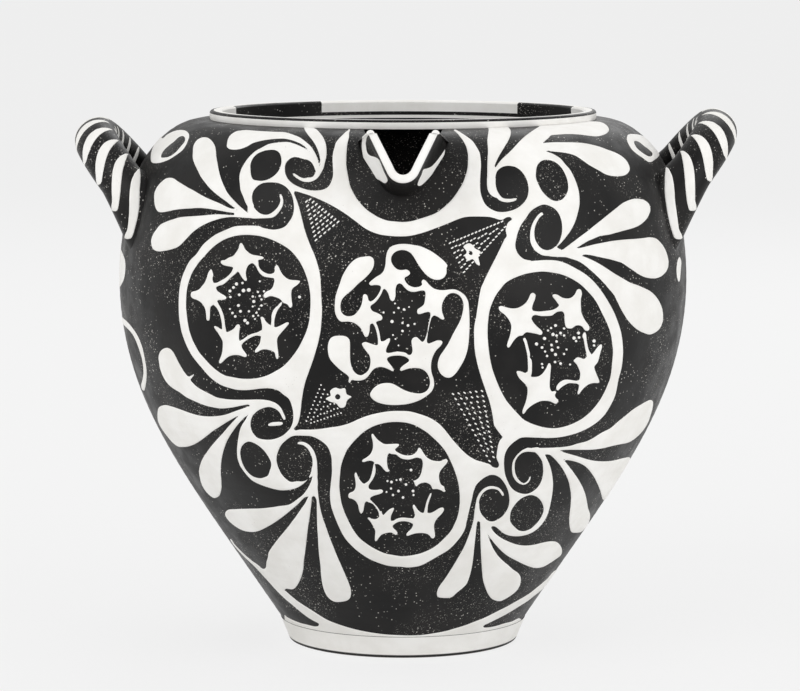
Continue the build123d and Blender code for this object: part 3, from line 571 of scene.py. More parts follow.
right_stars_px = {
    "right_upper_left_star": """498.5,307.5 500.5,306 504,306.5 509,308 514,308.5 519,307.5 524,304.5
        527.5,300.5 529.5,296.5 531,293.5 533.5,293 535.5,295 535,299 533,304 532,308.5 533,311 533,315
        531.5,318.5 533.5,322.5 537,326.5 541,330 542.5,332.5 541,335 537,334 531,332.8 526.5,332.3
        524,334 522.5,335.5 519,336 515.5,338.5 512.5,342.5 510,346.5 508.3,347.7 507,346 507.5,343
        509,338.5 510.5,333 511.3,327 510.5,323 508,318.5 504.5,314.5 501,312 499,309.5""",
    "right_upper_right_star": """552.5,295 555,294.2 558,295 562,297.5 567,298.5 571.5,297.5 575,294
        577,290 579,289 581,290 582,294 581,298 580.8,303 581,308 581.3,312 583,316.5 585.5,321
        588.5,325 589.5,328 588.5,330.5 586,330.8 584,329 582,326.5 579,325.3 575.5,325.8 572.5,328
        569.5,328.5 566.5,327.5 565,324 564.5,319 564.5,315 563,312 561,311.3 557,312 554,314 552,315.5
        547,316 541,316 535,315 529,317 529,310 532,310.5 538,311.5 545,311 552,310 556.5,308 559,305.5
        557.5,303 555,299.5 553,297""",
    "right_arc_1": """523,339 524.5,337.8 525.7,338.5 527,342 528.5,348 530,354 529.8,357.5 531.5,360
        532,366 531.3,375 528,375 528,367 527.8,361 527.3,355 526,349 524.5,343""",
    "right_lower_left_star": """516.5,371.5 519,371 522.5,372 525.5,373 528,371.5 531,374 531,376.5
        534,377 538,376.5 541.5,374.5 544.5,371 546.5,367.5 548.5,363.5 550,363.5 551,366.5 550.5,372
        550,378 549.7,384 550,388.5 552,391.5 554.5,391 556.3,392 555.3,394 555,396 556.5,398.5
        558.3,400 557,403.3 554.5,403.5 550.5,401.5 546,400.8 541,401 536,403 531,406 527,409.5
        525,412.5 523.5,414 522.3,412.5 523,409 525,404 526.5,399 527.5,393 527.3,388 525.5,384.5
        522.5,381.5 519.5,378.5 517.5,375""",
    "right_lower_right_star": """573.5,361 575,359 577.5,357.3 581,358 584,359 587,356.5 589,355
        591,354.8 593.5,352.5 596.5,348.5 599.5,345 601.5,344.5 602,347 600.5,352 599,358 597.5,362.5
        595,365.5 594.3,367.5 595.5,371.5 597.5,376.5 599.3,381 598.5,383 594,383 589.5,384 585.5,386.5
        582,390 579.5,393.5 578,394.5 577.5,392.5 578.5,389 579,385.5 577,383.8 573,383.3 568.5,383.3
        564,385.5 560.5,388 558,390.5 556.3,389 556.7,386 559,383 562,380.8 566,379.6 571,380 576,380.8
        579,380 580,377 580.2,373 579,369 577,365 575,362.5""",
    "right_arc_2": """582.5,336 583.5,333 585,332.3 586.2,334.5 586.5,339 587.5,345 589,350.5 592,356
        587.5,358 586,352 584.8,346 583.8,340""",
}

bottom_stars_px = {
    "bottom_upper_left_star": """372.8,433.7 374.5,436 377,439 380,441.5 384.5,444 390,444 395,443.8
        398.5,444 399,445.5 397,447.5 395,449.5 396,451.5 393,453.5 389,453.3 387.5,456 387,460
        387.3,465 388.3,469 389.7,470.5 388.5,471.7 386,471.5 383.5,469 381,466 378,464 375,464
        373.8,462 371,460.8 367.5,461 364,462 362,461.5 363,459.5 366.5,457.5 370,454.5 372,451 373,447
        372.8,442 371.8,437.5 371.5,434.5""",
    "bottom_arc_1": """391,449 398,452.5 402,454.5 407,455.5 412,455 415.5,453 419,449 422,458 417,457.5
        413,458.5 409,459.5 403,459 399,457 396,454.5 390,453.5""",
    "bottom_upper_right_star": """417.8,449 419.5,447.8 421.5,449.5 423.5,453 427,457.5 431.5,460
        436,461 440.5,461 444,459.5 446.5,459 447.7,461 446.5,463.5 443,467.5 440.3,471 439,475
        439.3,480 441,484.5 444,486.5 444.5,489 445.5,491 444,492 441.5,490.5 438.5,489.3 435.5,489
        432.5,489 431.3,486 429,483.8 425.5,482.5 421.5,483 418.5,484.5 416.5,486.3 415,485 414,482
        413,481 416,480 419,477.5 421,473.5 422.3,468 422.8,463 421.5,459 418,455""",
    "bottom_arc_2": """431.5,493 430,493.8 428.5,497 426.5,502 425.3,507 424,513 427,514 427.5,510
        428,505 429.5,500 431,496""",
    "bottom_lower_right_star": """413,505 414.3,504.8 416.5,508 419,511 422,512.8 426,512.5 430,513
        434,511.5 438,509 441.5,507.5 443.5,508 443.8,510.5 441.5,514 437.5,518 435,522 434,526
        434.5,531 435,536 433.5,538.3 431.5,538 429.5,535.5 426.5,533.7 421.5,533 416,533.3 411.5,534.5
        408,535.8 406.3,535 407.5,532.5 411,529 413,525.5 412.5,523 412,520 414.8,516 414,511
        412.8,507.5""",
    "bottom_arc_3": """388,521 393,520.8 397,518.7 402,517.6 408,518 414,519 416,525 409,522 403,521.2
        398,522 394.5,524 390,527""",
    "bottom_lower_left_star": """381,511 383,515 385,513.5 388,510.5 391,508.5 393.5,507.8 394,509
        392.5,512.5 391,516 390.8,520 392.3,524.5 393,527.5 396,530.5 397.5,533 396,535 394,534
        391,532.5 386.5,533 382,534.5 379,537.5 376.5,541 375,540.5 375,536 375.3,531 373.5,527
        371,522.5 368.5,519.5 367.5,518 369,517.5 372,518.8 376,519 379,517 379.5,513""",
    "bottom_arc_4": """368,498 373,502.5 376.5,506 379,509.5 381,513 383,517 379.5,517 378.5,512
        375.5,507 372,503.5 366,501""",
    "bottom_left_star": """355.5,472.5 356.5,473 358,476.5 360,480 362.5,483 365,484 368.5,485
        368.5,487.5 370,489.3 374,490 378.5,489.7 381.5,489.5 383,491 382,493 378,494.5 373,496
        370.3,498 370,500 367,501 364.8,503 364,507 363.3,511 361.5,513.5 360,512.5 358.8,509 358,505
        355.5,501 352,498.8 349,498 348.3,495.5 349.5,493 353,491.5 355,489 355.8,485 355.3,480
        354.5,475""",
    "bottom_arc_5": """374,463 375.5,468 375.3,473 373.5,478 370.5,482.5 367,487 363,485 368.5,481
        371,476 372.5,470""",
}

# The small blossoms in two corners of the star, and their dark hearts
blossoms_px = {
    "upper_right_blossom": """463.3,246.7 468.3,243.3 472.7,245 475,248.3 480.7,251.7 478.3,256.7
        480,265 476.7,264.3 472.7,259 468.3,261 465,256.7 466.7,251.7""",
    "lower_left_blossom": """330,391 335,387.7 340,389 345,388.3 346.7,394.3 351.7,396.7 347.3,400
        345,406.7 340,407.7 336,403.3 330,401.7 326,398.3 330.7,395.7""",
}

blossom_hearts_px = {
    "upper_right_heart": """470,250.5 472.5,252.5 472,255 469.5,254.5 468.5,252.5""",
    "lower_left_heart": """337.5,394 340.3,396 339.5,399 336.5,399.3 335,396.5""",
}

# The white leaves on the outside of the spout
spout_leaves_px = {
    "left_leaf": """361,129.2 363.6,131.4 362.3,138 361.8,145.7 362.5,152.6 364,160.4 366.6,167.3
        370.5,173 374.8,177.7 380,180.5 384.4,183.2 386.5,182.5 387.6,180 386,176 383.5,170.8 381,164
        378.7,159.5 374.8,157 370,155.6 367.2,152.6 366,147 366,142 367,137 368.8,135 368.8,130
        368.3,127""",
    "right_leaf": """417.5,184.5 419,180 421.5,175 423.5,169.5 427,168.5 431.5,166.5 436,162 440.5,156
        444.5,150 448,143.5 451,143 449.5,148 446,154 441.5,161 437,167.5 432,174.5 427,180 422,184.8
        419,186""",
}

# Dots at the hearts of the medallions, each with its radius
dots_px = """
    236.5,284,1.8 242.5,283,1.3 233.5,287.5,1.5 230,291,1.6 243.5,290.5,2 248.8,290,2.1 239.3,294.8,1.5
    230.5,297,1.3 252.8,296.5,1.3 258,292,1.2 264,291.3,1.2 259.8,296,1.3 253.8,301.5,1.7
    261.5,299.5,1.2 261.5,305.5,1.3 252.8,306.5,1.1 238.5,305.5,1.6 240.5,311.3,1.6 232.5,313,1.4
    235.3,316.5,1.4 249,311.3,1.3 256.5,312.8,1.2 259,309,1.1 253.3,316,1.3 255,319,1 258.3,315.5,1
    245,320.5,1.8 247.5,323,1.7 230,309,1 259.8,281.3,1.1 299.5,297,1.6 551,328,1.2 548,330.5,1.2
    555.5,325.5,1.6 564,328.5,1.2 553,334.5,1.8 556.5,335.5,1.4 560.5,333,1.5 564,335.5,1.3
    544.5,338.5,1.8 556.5,341.5,1.4 536.5,344,1.8 542,347.5,1.5 551.5,345,1.5 552,350,1.7 558,347.5,1.3
    545,351.5,1.2 555.5,354.5,1.7 566.5,349.5,1.1 564,354,1.2 547,356,1.3 555,362,1.4 560.5,363.5,1.5
    570,364.5,1.1 542,364,1.2 542.5,367.5,1.2 574,338,1.8 578.5,333,1.6 579,337.5,1.4 576,341,1.3
    594,341,1.8 594,345.5,1.3 400.5,479.5,1.5 391.5,482,1.5 396.5,480,1 387.5,481,1.1 406,484.5,1.4
    391,488.5,1.2 398.5,491,1.5 393,495,1.3 403,497.5,1.4 413,491,1.5 413.5,495,1.2 386.5,492,1
    411,470,1.5 395,303.5,1 398.5,308,1.3 404,309.5,1.4 409,307,0.9 383.5,312.5,1.2 394,312.5,1.1
    392,321.5,1.8 402.5,323,1.2 408,325.5,1.5 414.5,324,1.2 402.5,331,1.4 393,335,1 395.5,339,0.9
    398.5,345.5,0.9
"""

# Where the spout's disc would stand without the spout: the bottom disc's stars moved right and down
top_medallion_px = (7, -322)

# The hatching in the corners of the star: the ends of the first row, the ends of the last row, the number of
# rows, the marks in the first and in the last row, and each mark's half length across and down
hatching_px = (
    ((306.5, 201.5), (310, 199.5), (316, 240), (338, 222), 10, (2, 6), (0.8, -0.8)),
    ((502, 221.5), (505, 227), (450, 243), (464, 272), 15, (2, 7), (0.7, -0.5)),
    ((306.5, 421), (311, 423), (321, 385), (341, 413), 10, (2, 7), (0.1, 0.1)),
    ((489.5, 461), (493.5, 457), (453, 394), (482, 391), 14, (2, 6), (0.6, 0.4)),
)
hatching_half_width_px = 0.75


# Turning the photograph's places into outlines


def places(text):
    """The places written in a text, each as x,y."""
    return np.array([[float(value) for value in pair.split(",")] for pair in text.split()])


def smooth_outline(corners):
    """A closed smooth curve through the corners, as a Catmull-Rom spline."""
    before, after, beyond = (np.roll(corners, shift, axis=0) for shift in (1, -1, -2))
    rounds = []
    for step in range(curve_steps):
        t = step / curve_steps
        rounds.append(
            corners
            + (after - before) * t / 2
            + (2 * before - 5 * corners + 4 * after - beyond) * t**2 / 2
            + (3 * corners - before - 3 * after + beyond) * t**3 / 2
        )
    return np.stack(rounds, axis=1).reshape(-1, 2)


def in_layers(*groups):
    """Outlines in the order in which they are laid down, each with whether it is white."""
    return [(white, smooth_outline(places(text))) for white, group in groups for text in group.values()]


def moved(group, right, down):
    """The outlines of a group, moved over the photograph."""
    return {
        name: " ".join(f"{x + right},{y + down}" for x, y in places(text))
        for name, text in group.items()
    }


def inside_distance(x, y, outline):
    """Distance to an outline, above zero inside it, and never more than field_reach_px either way."""
    result = np.full(len(x), -field_reach_px)
    low = outline.min(axis=0) - field_reach_px
    high = outline.max(axis=0) + field_reach_px
    near = np.flatnonzero((x > low[0]) & (x < high[0]) & (y > low[1]) & (y < high[1]))
    if not len(near):
        return result
    x, y = x[near], y[near]
    best = np.full(len(near), field_reach_px**2)
    inside = np.zeros(len(near), bool)
    for (x0, y0), (x1, y1) in zip(outline, np.roll(outline, -1, axis=0)):
        run, rise = x1 - x0, y1 - y0
        length = run * run + rise * rise
        if not length:
            continue
        t = np.clip(((x - x0) * run + (y - y0) * rise) / length, 0, 1)
        best = np.minimum(best, (x - x0 - t * run) ** 2 + (y - y0 - t * rise) ** 2)
        if rise:
            inside ^= ((y0 > y) != (y1 > y)) & (x < x0 + (y - y0) * run / rise)
    distance = np.sqrt(best)
    result[near] = np.where(inside, distance, -distance)
    return result


camera_forward = (camera_aim - camera_place) / np.linalg.norm(camera_aim - camera_place)
camera_right = np.array((1.0, 0.0, 0.0))
camera_up = np.cross(camera_right, camera_forward)
px_per_mm = lens_px / np.linalg.norm(camera_aim - camera_place)


def seen_at(points):
    """Where the photograph shows points of the jar."""
    rays = points - camera_place
    depth = rays @ camera_forward
    x = middle_px[0] + lens_px * (rays @ camera_right) / depth
    y = middle_px[1] - lens_px * (rays @ camera_up) / depth
    return x, y


# Surfaces of the jar


def line_through(points):
    """A natural cubic spline through points, returned as its length and a function of the run along it."""
    points = np.array(points, float)
    spans = np.hypot(*np.diff(points, axis=0).T)
    knots = np.concatenate(([0], np.cumsum(spans)))
    count = len(points)
    system = np.eye(count)
    pull = np.zeros((count, 2))
    for i in range(1, count - 1):
        system[i, i - 1 : i + 2] = spans[i - 1], 2 * (spans[i - 1] + spans[i]), spans[i]
        pull[i] = 6 * ((points[i + 1] - points[i]) / spans[i] - (points[i] - points[i - 1]) / spans[i - 1])
    bends = np.linalg.solve(system, pull)
    fine = np.linspace(0, knots[-1], spline_samples)
    k = np.clip(np.searchsorted(knots, fine, side="right") - 1, 0, count - 2)
    gone = (fine - knots[k])[:, None]
    left = (knots[k + 1] - fine)[:, None]
    span = spans[k][:, None]
    curve = (bends[k] * left**3 + bends[k + 1] * gone**3) / (6 * span)
    curve += (points[k] / span - bends[k] * span / 6) * left
    curve += (points[k + 1] / span - bends[k + 1] * span / 6) * gone
    runs = np.concatenate(([0], np.cumsum(np.hypot(*np.diff(curve, axis=0).T))))
    slopes = np.gradient(curve, runs, axis=0)

    def at(run):
        place = np.stack([np.interp(run, runs, curve[:, i]) for i in (0, 1)], axis=-1)
        along = np.stack([np.interp(run, runs, slopes[:, i]) for i in (0, 1)], axis=-1)
        return place, along / np.linalg.norm(along, axis=-1, keepdims=True)

    return runs[-1], at


def wall_points():
    """The points that the wall's outside passes through, each a radius and a height."""
    lower = [
        (root_radius + out * (belly_radius - root_radius), foot_height + up * (belly_height - foot_height))
        for out, up in lower_shares
    ]
    upper = [
        (belly_radius - back * (belly_radius - rim_radius), belly_height + up * shoulder_height)
        for back, up in upper_shares
    ]
    return [(root_radius, foot_height), *lower, (belly_radius, belly_height), *upper, (rim_radius, rim_seat)]


outside_length, outside_at = line_through(wall_points())
outside_line, _ = outside_at(np.linspace(0, outside_length, spline_samples))


def inside_points():
    """The points of the wall's inside, one wall thickness in from its outside."""
    place, along = outside_at(np.array(inside_shares) * outside_length)
    inner = [(p[0] - wall * t[1], p[1] + wall * t[0]) for p, t in zip(place, along)]
    return [(root_radius - wall, foot_height), *inner, (mouth_radius, rim_seat - wall)]


inside_length, inside_at = line_through(inside_points())


def spun(place, along, turn, lift, side):
    """Points of a turned surface, lifted off it. A turn of zero is the front, and it grows towards +X."""
    out = place[..., 0] + side * lift * along[..., 1]
    up = place[..., 1] - side * lift * along[..., 0]
    return np.stack((out * np.sin(turn), -out * np.cos(turn), up), axis=-1)


def throwing(turn, run):
    """Height of the faint ridges that the potter's fingers left, which wind slowly up the wall."""
    wind = run / ridge_pitch - turn / full_turn
    sway = np.sin(run / (ridge_pitch * ridge_sway))
    slow_sway = np.sin(2 * turn + run / (ridge_pitch * ridge_slow_sway))
    return ridge_height * (np.sin(full_turn * wind) + (sway + slow_sway)) / 2


def outer_skin(turn, run, lift):
    """A point on the wall's outside."""
    place, along = outside_at(run)
    return spun(place, along, turn, lift - skin_inset + throwing(turn, run), 1)


def back_skin(turn, run, lift):
    """The outside again, turned to face the back."""
    return outer_skin(turn + half_turn, run, lift)


def inner_skin(turn, run, lift):
    """A point on the wall's inside, whose turn runs the other way so that it faces inward."""
    place, along = inside_at(run)
    return spun(place, along, -turn, lift + throwing(turn, run) * inner_ridge_share, -1)


def skin_over(points):
    """A skin over a grid of points, which takes places in steps of the grid."""
    across, along = np.gradient(points, axis=0), np.gradient(points, axis=1)
    normals = np.cross(across, along)
    normals /= np.linalg.norm(normals, axis=-1, keepdims=True)

    def skin(u, v, lift):
        i = np.clip(np.floor(u).astype(int), 0, points.shape[0] - 2)
        j = np.clip(np.floor(v).astype(int), 0, points.shape[1] - 2)
        s, t = (u - i)[:, None], (v - j)[:, None]
        both = []
        for grid in (points, normals):
            low = grid[i, j] * (1 - t) + grid[i, j + 1] * t
            high = grid[i + 1, j] * (1 - t) + grid[i + 1, j + 1] * t
            both.append(low * (1 - s) + high * s)
        return both[0] + both[1] * np.asarray(lift)[:, None]

    return skin


def wall_radius(height):
    """Outside radius of the wall at a height."""
    return np.interp(height, outside_line[:, 1], outside_line[:, 0]) - skin_inset


# Materials


class Paint:
    """A material whose nodes are added one by one."""

    def __init__(self, name):
        self.material = bpy.data.materials.new(name)
        self.material.use_nodes = True
        self.nodes = self.material.node_tree.nodes
        self.shader = self.nodes["Principled BSDF"]

    @cached_property
    def place(self):
        """Where in the scene a point of the surface lies."""
        return self.add("ShaderNodeNewGeometry").outputs["Position"]

    def add(self, kind, **settings):
        node = self.nodes.new(kind)
        for key, value in settings.items():
            setattr(node, key, value)
        return node

    def put(self, value, into):
        """Links a node's output to a socket, or sets the socket to a number or a colour."""
        if isinstance(value, bpy.types.NodeSocket):
            self.material.node_tree.links.new(value, into)
        else:
            into.default_value = (*value, 1) if isinstance(value, tuple) else value

    def fill(self, node, **sockets):
        """Puts values into a node's sockets, whose names are written with _ for a space."""
        for name, value in sockets.items():
            self.put(value, node.inputs[name.replace("_", " ")])
        return node

    def noise(self, scale, detail, roughness):
        node = self.add("ShaderNodeTexNoise")
        self.fill(node, Vector=self.place, Scale=scale, Detail=detail, Roughness=roughness)
        return node.outputs["Fac"]

    def ramp(self, value, low, high, start=0.0, end=1.0):
        """A value that goes smoothly from start to end while another goes from low to high."""
        node = self.add("ShaderNodeMapRange", interpolation_type="SMOOTHSTEP")
        self.fill(node, Value=value, From_Min=low, From_Max=high, To_Min=start, To_Max=end)
        return node.outputs["Result"]

    def cloud(self, scale, detail, roughness, *limits):
        """A soft pattern."""
        return self.ramp(self.noise(scale, detail, roughness), *limits)

    def spots(self, scale, near, far):
        """Round spots, one in each cell."""
        node = self.fill(self.add("ShaderNodeTexVoronoi"), Vector=self.place, Scale=scale)
        return self.ramp(node.outputs["Distance"], near, far, 1, 0)

    def math(self, operation, one, other):
        node = self.add("ShaderNodeMath", operation=operation)
        self.put(one, node.inputs[0])
        self.put(other, node.inputs[1])
        return node.outputs["Value"]

    def mix(self, share, low, high):
        """A colour between two others."""
        node = self.fill(self.add("ShaderNodeMix", data_type="RGBA"), Factor=share)
        for colour, into in zip((low, high), (entry for entry in node.inputs if entry.type == "RGBA")):
            self.put(colour, into)
        return next(out for out in node.outputs if out.type == "RGBA")

    def finished(self, colour, roughness, grain):
        """The material, once it has its colour, its roughness and its fine relief."""
        *noise, strength, depth = grain
        node = self.add("ShaderNodeBump")
        self.fill(node, Height=self.noise(*noise), Strength=strength, Distance=depth)
        self.fill(self.shader, Base_Color=colour, Roughness=roughness, Normal=node.outputs["Normal"])
        return self.material


def dark_slip_material():
    """Near black slip with a soft sheen, worn through to the clay in small pale flecks."""
    paint = Paint("dark_slip")
    tone = paint.mix(paint.cloud(*dark_cloud), dark_low, dark_high)
    worn = paint.math("MULTIPLY", paint.spots(*fleck_cells), paint.cloud(*fleck_patches))
    tone = paint.mix(worn, tone, fleck_colour)
    worn = paint.math("MULTIPLY", paint.cloud(*grains), paint.cloud(*grain_patches))
    tone = paint.mix(worn, tone, grain_colour)
    paint.fill(paint.shader, Specular_IOR_Level=dark_specular)
    return paint.finished(tone, paint.cloud(*dark_roughness), dark_grain)


def white_slip_material():
    """Chalky white slip, brushed on, with pits and a few thin places."""
    paint = Paint("white_slip")
    tone = paint.mix(paint.cloud(*white_cloud), white_low, white_high)
    pitted = paint.math("MULTIPLY", paint.spots(*pit_cells), paint.cloud(*pit_patches))
    tone = paint.mix(pitted, tone, pit_colour)
    return paint.finished(tone, paint.cloud(*white_roughness), white_grain)


def foot_material():
    """White slip on the foot's side, with a dark line low down that is also painted shade where the foot
    meets the floor, bare clay underneath and a dark top.
    """
    paint = Paint("foot_slip")
    height = paint.fill(paint.add("ShaderNodeSeparateXYZ"), Vector=paint.place).outputs["Z"]
    # A dark line and painted shade together: the lowest part of the foot's side is darkened where it meets
    # the floor
    in_line_and_shade = paint.ramp(height, foot_shade_line_top - foot_shade_line_blur, foot_shade_line_top, 1, 0)
    on_floor = paint.ramp(height, foot_inside, foot_inside + foot_under)
    underneath = paint.ramp(height, foot_under, foot_under * 2, 1, 0)
    tone = paint.mix(paint.cloud(*white_cloud), white_low, white_high)
    tone = paint.mix(in_line_and_shade, tone, line_and_floor_shade)
    tone = paint.mix(on_floor, tone, dark_high)
    tone = paint.mix(underneath, tone, paint.mix(paint.cloud(*clay_cloud), clay_low, clay_high))
    return paint.finished(tone, foot_roughness, foot_grain)


def floor_material():
    """Pale floor that shows the same pale tone wherever it is seen, and still takes the jar's shadow."""
    paint = Paint("floor")
    paint.fill(paint.shader, Base_Color=floor_colour, Roughness=1, Specular_IOR_Level=0)
    glow = paint.fill(paint.add("ShaderNodeEmission"), Color=floor_colour)
    path = paint.add("ShaderNodeLightPath").outputs
    seen = paint.math("MAXIMUM", path["Is Camera Ray"], path["Is Glossy Ray"])
    seen = paint.math("MAXIMUM", seen, path["Is Transmission Ray"])
    both = paint.add("ShaderNodeMixShader")
    paint.put(paint.math("MULTIPLY", seen, floor_glow), both.inputs["Fac"])
    paint.put(paint.shader.outputs["BSDF"], both.inputs[1])
    paint.put(glow.outputs["Emission"], both.inputs[2])
    paint.fill(paint.nodes["Material Output"], Surface=both.outputs["Shader"])
    return paint.material


dark_slip = dark_slip_material()
white_slip = white_slip_material()
foot_slip = foot_material()
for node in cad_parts.values():
    if node.type == "MESH":
        for slot in node.material_slots:
            slot.material = dark_slip
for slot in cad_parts["foot_disc"].material_slots:
    slot.material = foot_slip

# Making meshes


def new_piece(name, points, faces, material):
    """A smooth mesh from points in millimetres, riding on the jar."""
    mesh = bpy.data.meshes.new(name)
    mesh.from_pydata((np.asarray(points) * mm).tolist(), [], faces)
    mesh.validate()
    mesh.update()
    mesh.shade_smooth()
    piece = bpy.data.objects.new(name, mesh)
    bpy.context.scene.collection.objects.link(piece)
    piece.data.materials.append(material)
    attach(piece, "root")
    return piece


def grid_faces(rows, columns, wrap_rows):
    """Four sided faces over a grid of points whose columns go all the way round."""
    faces = []
    for i in range(rows if wrap_rows else rows - 1):
        for j in range(columns):
            k, m = (i + 1) % rows, (j + 1) % columns
            faces.append((i * columns + j, k * columns + j, k * columns + m, i * columns + m))
    return faces


def tube_faces(rings, around):
    """The faces of a tube over a grid of rings, closed at both ends."""
    ends = tuple(range(around)), tuple(range((rings - 1) * around, rings * around))[::-1]
    return [*grid_faces(rings, around, False), *ends]


def around_axis(turns, radii, heights):
    """A grid of points for a section turned round the jar's axis."""
    x, y = np.outer(np.sin(turns), radii), -np.outer(np.cos(turns), radii)
    return np.stack((x, y, np.outer(np.ones(len(turns)), heights)), axis=-1)


def in_arc(turns):
    """True where a turn lies outside the gaps, which are in degrees from the back towards +X."""
    from_back = np.mod(np.degrees(half_turn - turns) + 180, 360) - 180
    return ~np.any([(from_back > start) & (from_back < end) for start, end in arc_gaps], axis=0)


def white_faces(turns, looks):
    """Which faces of a turned ring are white. Each look is for one column: dark, white or white in arcs."""
    none = np.zeros(len(turns), bool)
    choices = {"dark": none, "white": ~none, "arcs": in_arc(turns)}
    return np.stack([choices[look] for look in looks], axis=1)


def paint_white(piece, chosen):
    """Gives the white slip to the chosen faces of a dark piece."""
    piece.data.materials.append(white_slip)
    indices = np.zeros(len(piece.data.polygons), int)
    indices[: len(chosen)][chosen] = len(piece.data.materials) - 1
    piece.data.polygons.foreach_set("material_index", indices)


def field_faces(turn, run, depth, shape):
    """The faces over the parts of a grid where its depth is above zero, cut off where the depth is zero.

    Returns the faces with three and with four sides, and the turn, the run and the depth of their corners.
    """
    total = len(depth)
    index = np.arange(total).reshape(shape)
    cell = [part.ravel() for part in (index[:-1, :-1], index[1:, :-1], index[1:, 1:], index[:-1, 1:])]
    inside = depth > 0
    held = sum(inside[part].astype(int) for part in cell)
    full = held == 4
    part_full = (held > 0) & ~full
    quads = np.stack(cell, axis=-1)[full]
    halves = [np.stack([cell[i] for i in corners], axis=-1)[part_full] for corners in ((0, 1, 2), (0, 2, 3))]
    triangles = np.concatenate(halves)
    corners_in = inside[triangles].sum(axis=1)

    def lone_first(rows, lone):
        start = np.argmax(lone, axis=1)
        return rows[np.arange(len(rows))[:, None], (start[:, None] + np.arange(3)) % 3]

    whole = triangles[corners_in == 3]
    one = triangles[corners_in == 1]
    one = lone_first(one, inside[one])
    two = triangles[corners_in == 2]
    two = lone_first(two, ~inside[two])
    cuts = np.concatenate([one[:, [0, 1]], one[:, [0, 2]], two[:, [0, 1]], two[:, [0, 2]]])
    cuts.sort(axis=1)
    keys, which = np.unique(cuts[:, 0] * total + cuts[:, 1], return_inverse=True)
    start, end = keys // total, keys % total
    share = depth[start] / (depth[start] - depth[end])
    turn = np.concatenate((turn, turn[start] + share * (turn[end] - turn[start])))
    run = np.concatenate((run, run[start] + share * (run[end] - run[start])))
    depth = np.concatenate((depth, np.zeros(len(keys))))
    which = which.ravel() + total
    first, second, third, fourth = np.split(which, np.cumsum((len(one), len(one), len(two))))
    three_sided = np.concatenate((whole, np.stack((one[:, 0], first, second), axis=-1)))
    four_sided = np.concatenate((quads, np.stack((third, two[:, 1], two[:, 2], fourth), axis=-1)))

    used, numbers = np.unique(np.concatenate((three_sided.ravel(), four_sided.ravel())), return_inverse=True)
    numbers = numbers.ravel()
    three_sided, four_sided = np.split(numbers, [three_sided.size])
    return three_sided.reshape(-1, 3), four_sided.reshape(-1, 4), turn[used], run[used], depth[used]


def slip_layer(name, skin, turns, runs, field):
    """A thin closed white layer over the parts of a skin where the field, in millimetres, is above zero."""
    turn, run = (grid.ravel() for grid in np.meshgrid(turns, runs, indexing="ij"))
    shape = (len(turns), len(runs))
    three_sided, four_sided, turn, run, depth = field_faces(turn, run, field(turn, run), shape)
    count = len(depth)
    rise = slip_proud * np.sqrt(1 - (1 - np.clip(depth / slip_edge, 0, 1)) ** 2)
    points = np.concatenate((skin(turn, run, rise), skin(turn, run, np.full(count, -slip_sunk))))
    edges = np.concatenate([
        faces[:, [i, (i + 1) % faces.shape[1]]]
        for faces in (three_sided, four_sided)
        for i in range(faces.shape[1])
    ])
    forth, back = edges[:, 0] * count + edges[:, 1], edges[:, 1] * count + edges[:, 0]
    rim = edges[~np.isin(forth, back)]
    skirt = np.stack((rim[:, 1], rim[:, 0], rim[:, 0] + count, rim[:, 1] + count), axis=-1)
    faces = [*three_sided.tolist(), *four_sided.tolist(), *skirt.tolist()]
    faces += [*(three_sided[:, ::-1] + count).tolist(), *(four_sided[:, ::-1] + count).tolist()]
    piece = new_piece(name, points, faces, white_slip)
    piece.data.set_sharp_from_angle(angle=slip_sharp_angle)


def steps(low, high, cell):
    """Even steps from low to high, about a cell apart."""
    return np.linspace(low, high, int((high - low) / cell))


def turn_steps(low, high, cell):
    """Even steps from a low to a high turn, about a cell apart at the belly."""
    return np.linspace(low, high, int((high - low) * belly_radius / cell))


# The spout's surface


def spout_top(distance):
    """Height of the spout's top edge at a distance from the jar's axis."""
    return jar_height - spout_sink - (spout_reach - distance) * tan(spout_slope)


def trough_line(distance, inset):
    """The trough's section seen from the front, right to left, set in from its outside."""
    share = (spout_reach - distance) / (spout_reach - rim_radius)
    half = (spout_tip_width + share * (spout_root_width - spout_tip_width)) / 2 - inset
    drop = spout_tip_depth + share * (spout_root_depth - spout_tip_depth) - spout_floor_radius
    radius = spout_floor_radius - inset
    reach = sqrt(half**2 + drop**2)
    start = np.arctan2(drop, half) - np.arccos(radius / reach)
    angles = np.linspace(start, -half_turn - start, trough_arc_points)
    arc = np.stack((radius * np.cos(angles), spout_top(distance) - drop + radius * np.sin(angles)), axis=-1)
    side_share = np.linspace(0, 1, trough_side_points, endpoint=False)[:, None]
    right = np.array((half, spout_top(distance))) * (1 - side_share) + arc[0] * side_share
    left = right[::-1] * (-1, 1)
    return np.concatenate((right, arc, left))


def trough_loop(distance):
    """The closed section of the trough: its outside, its left lip, its inside and its right lip."""
    outer, inner = trough_line(distance, 0), trough_line(distance, spout_wall)[::-1]
    lip = spout_wall / 2
    for line in (outer, inner):
        line[[0, -1], 1] -= lip
    rounds = np.linspace(0, half_turn, lip_points + 2)[1:-1]
    lips = []
    for start, end in ((outer[-1], inner[0]), (inner[-1], outer[0])):
        middle, spread = (start + end) / 2, (start - end) / 2
        lips.append(np.stack([middle + spread * cos(a) + (0, lip * sin(a)) for a in rounds]))
    return np.concatenate((outer, lips[0], inner, lips[1]))


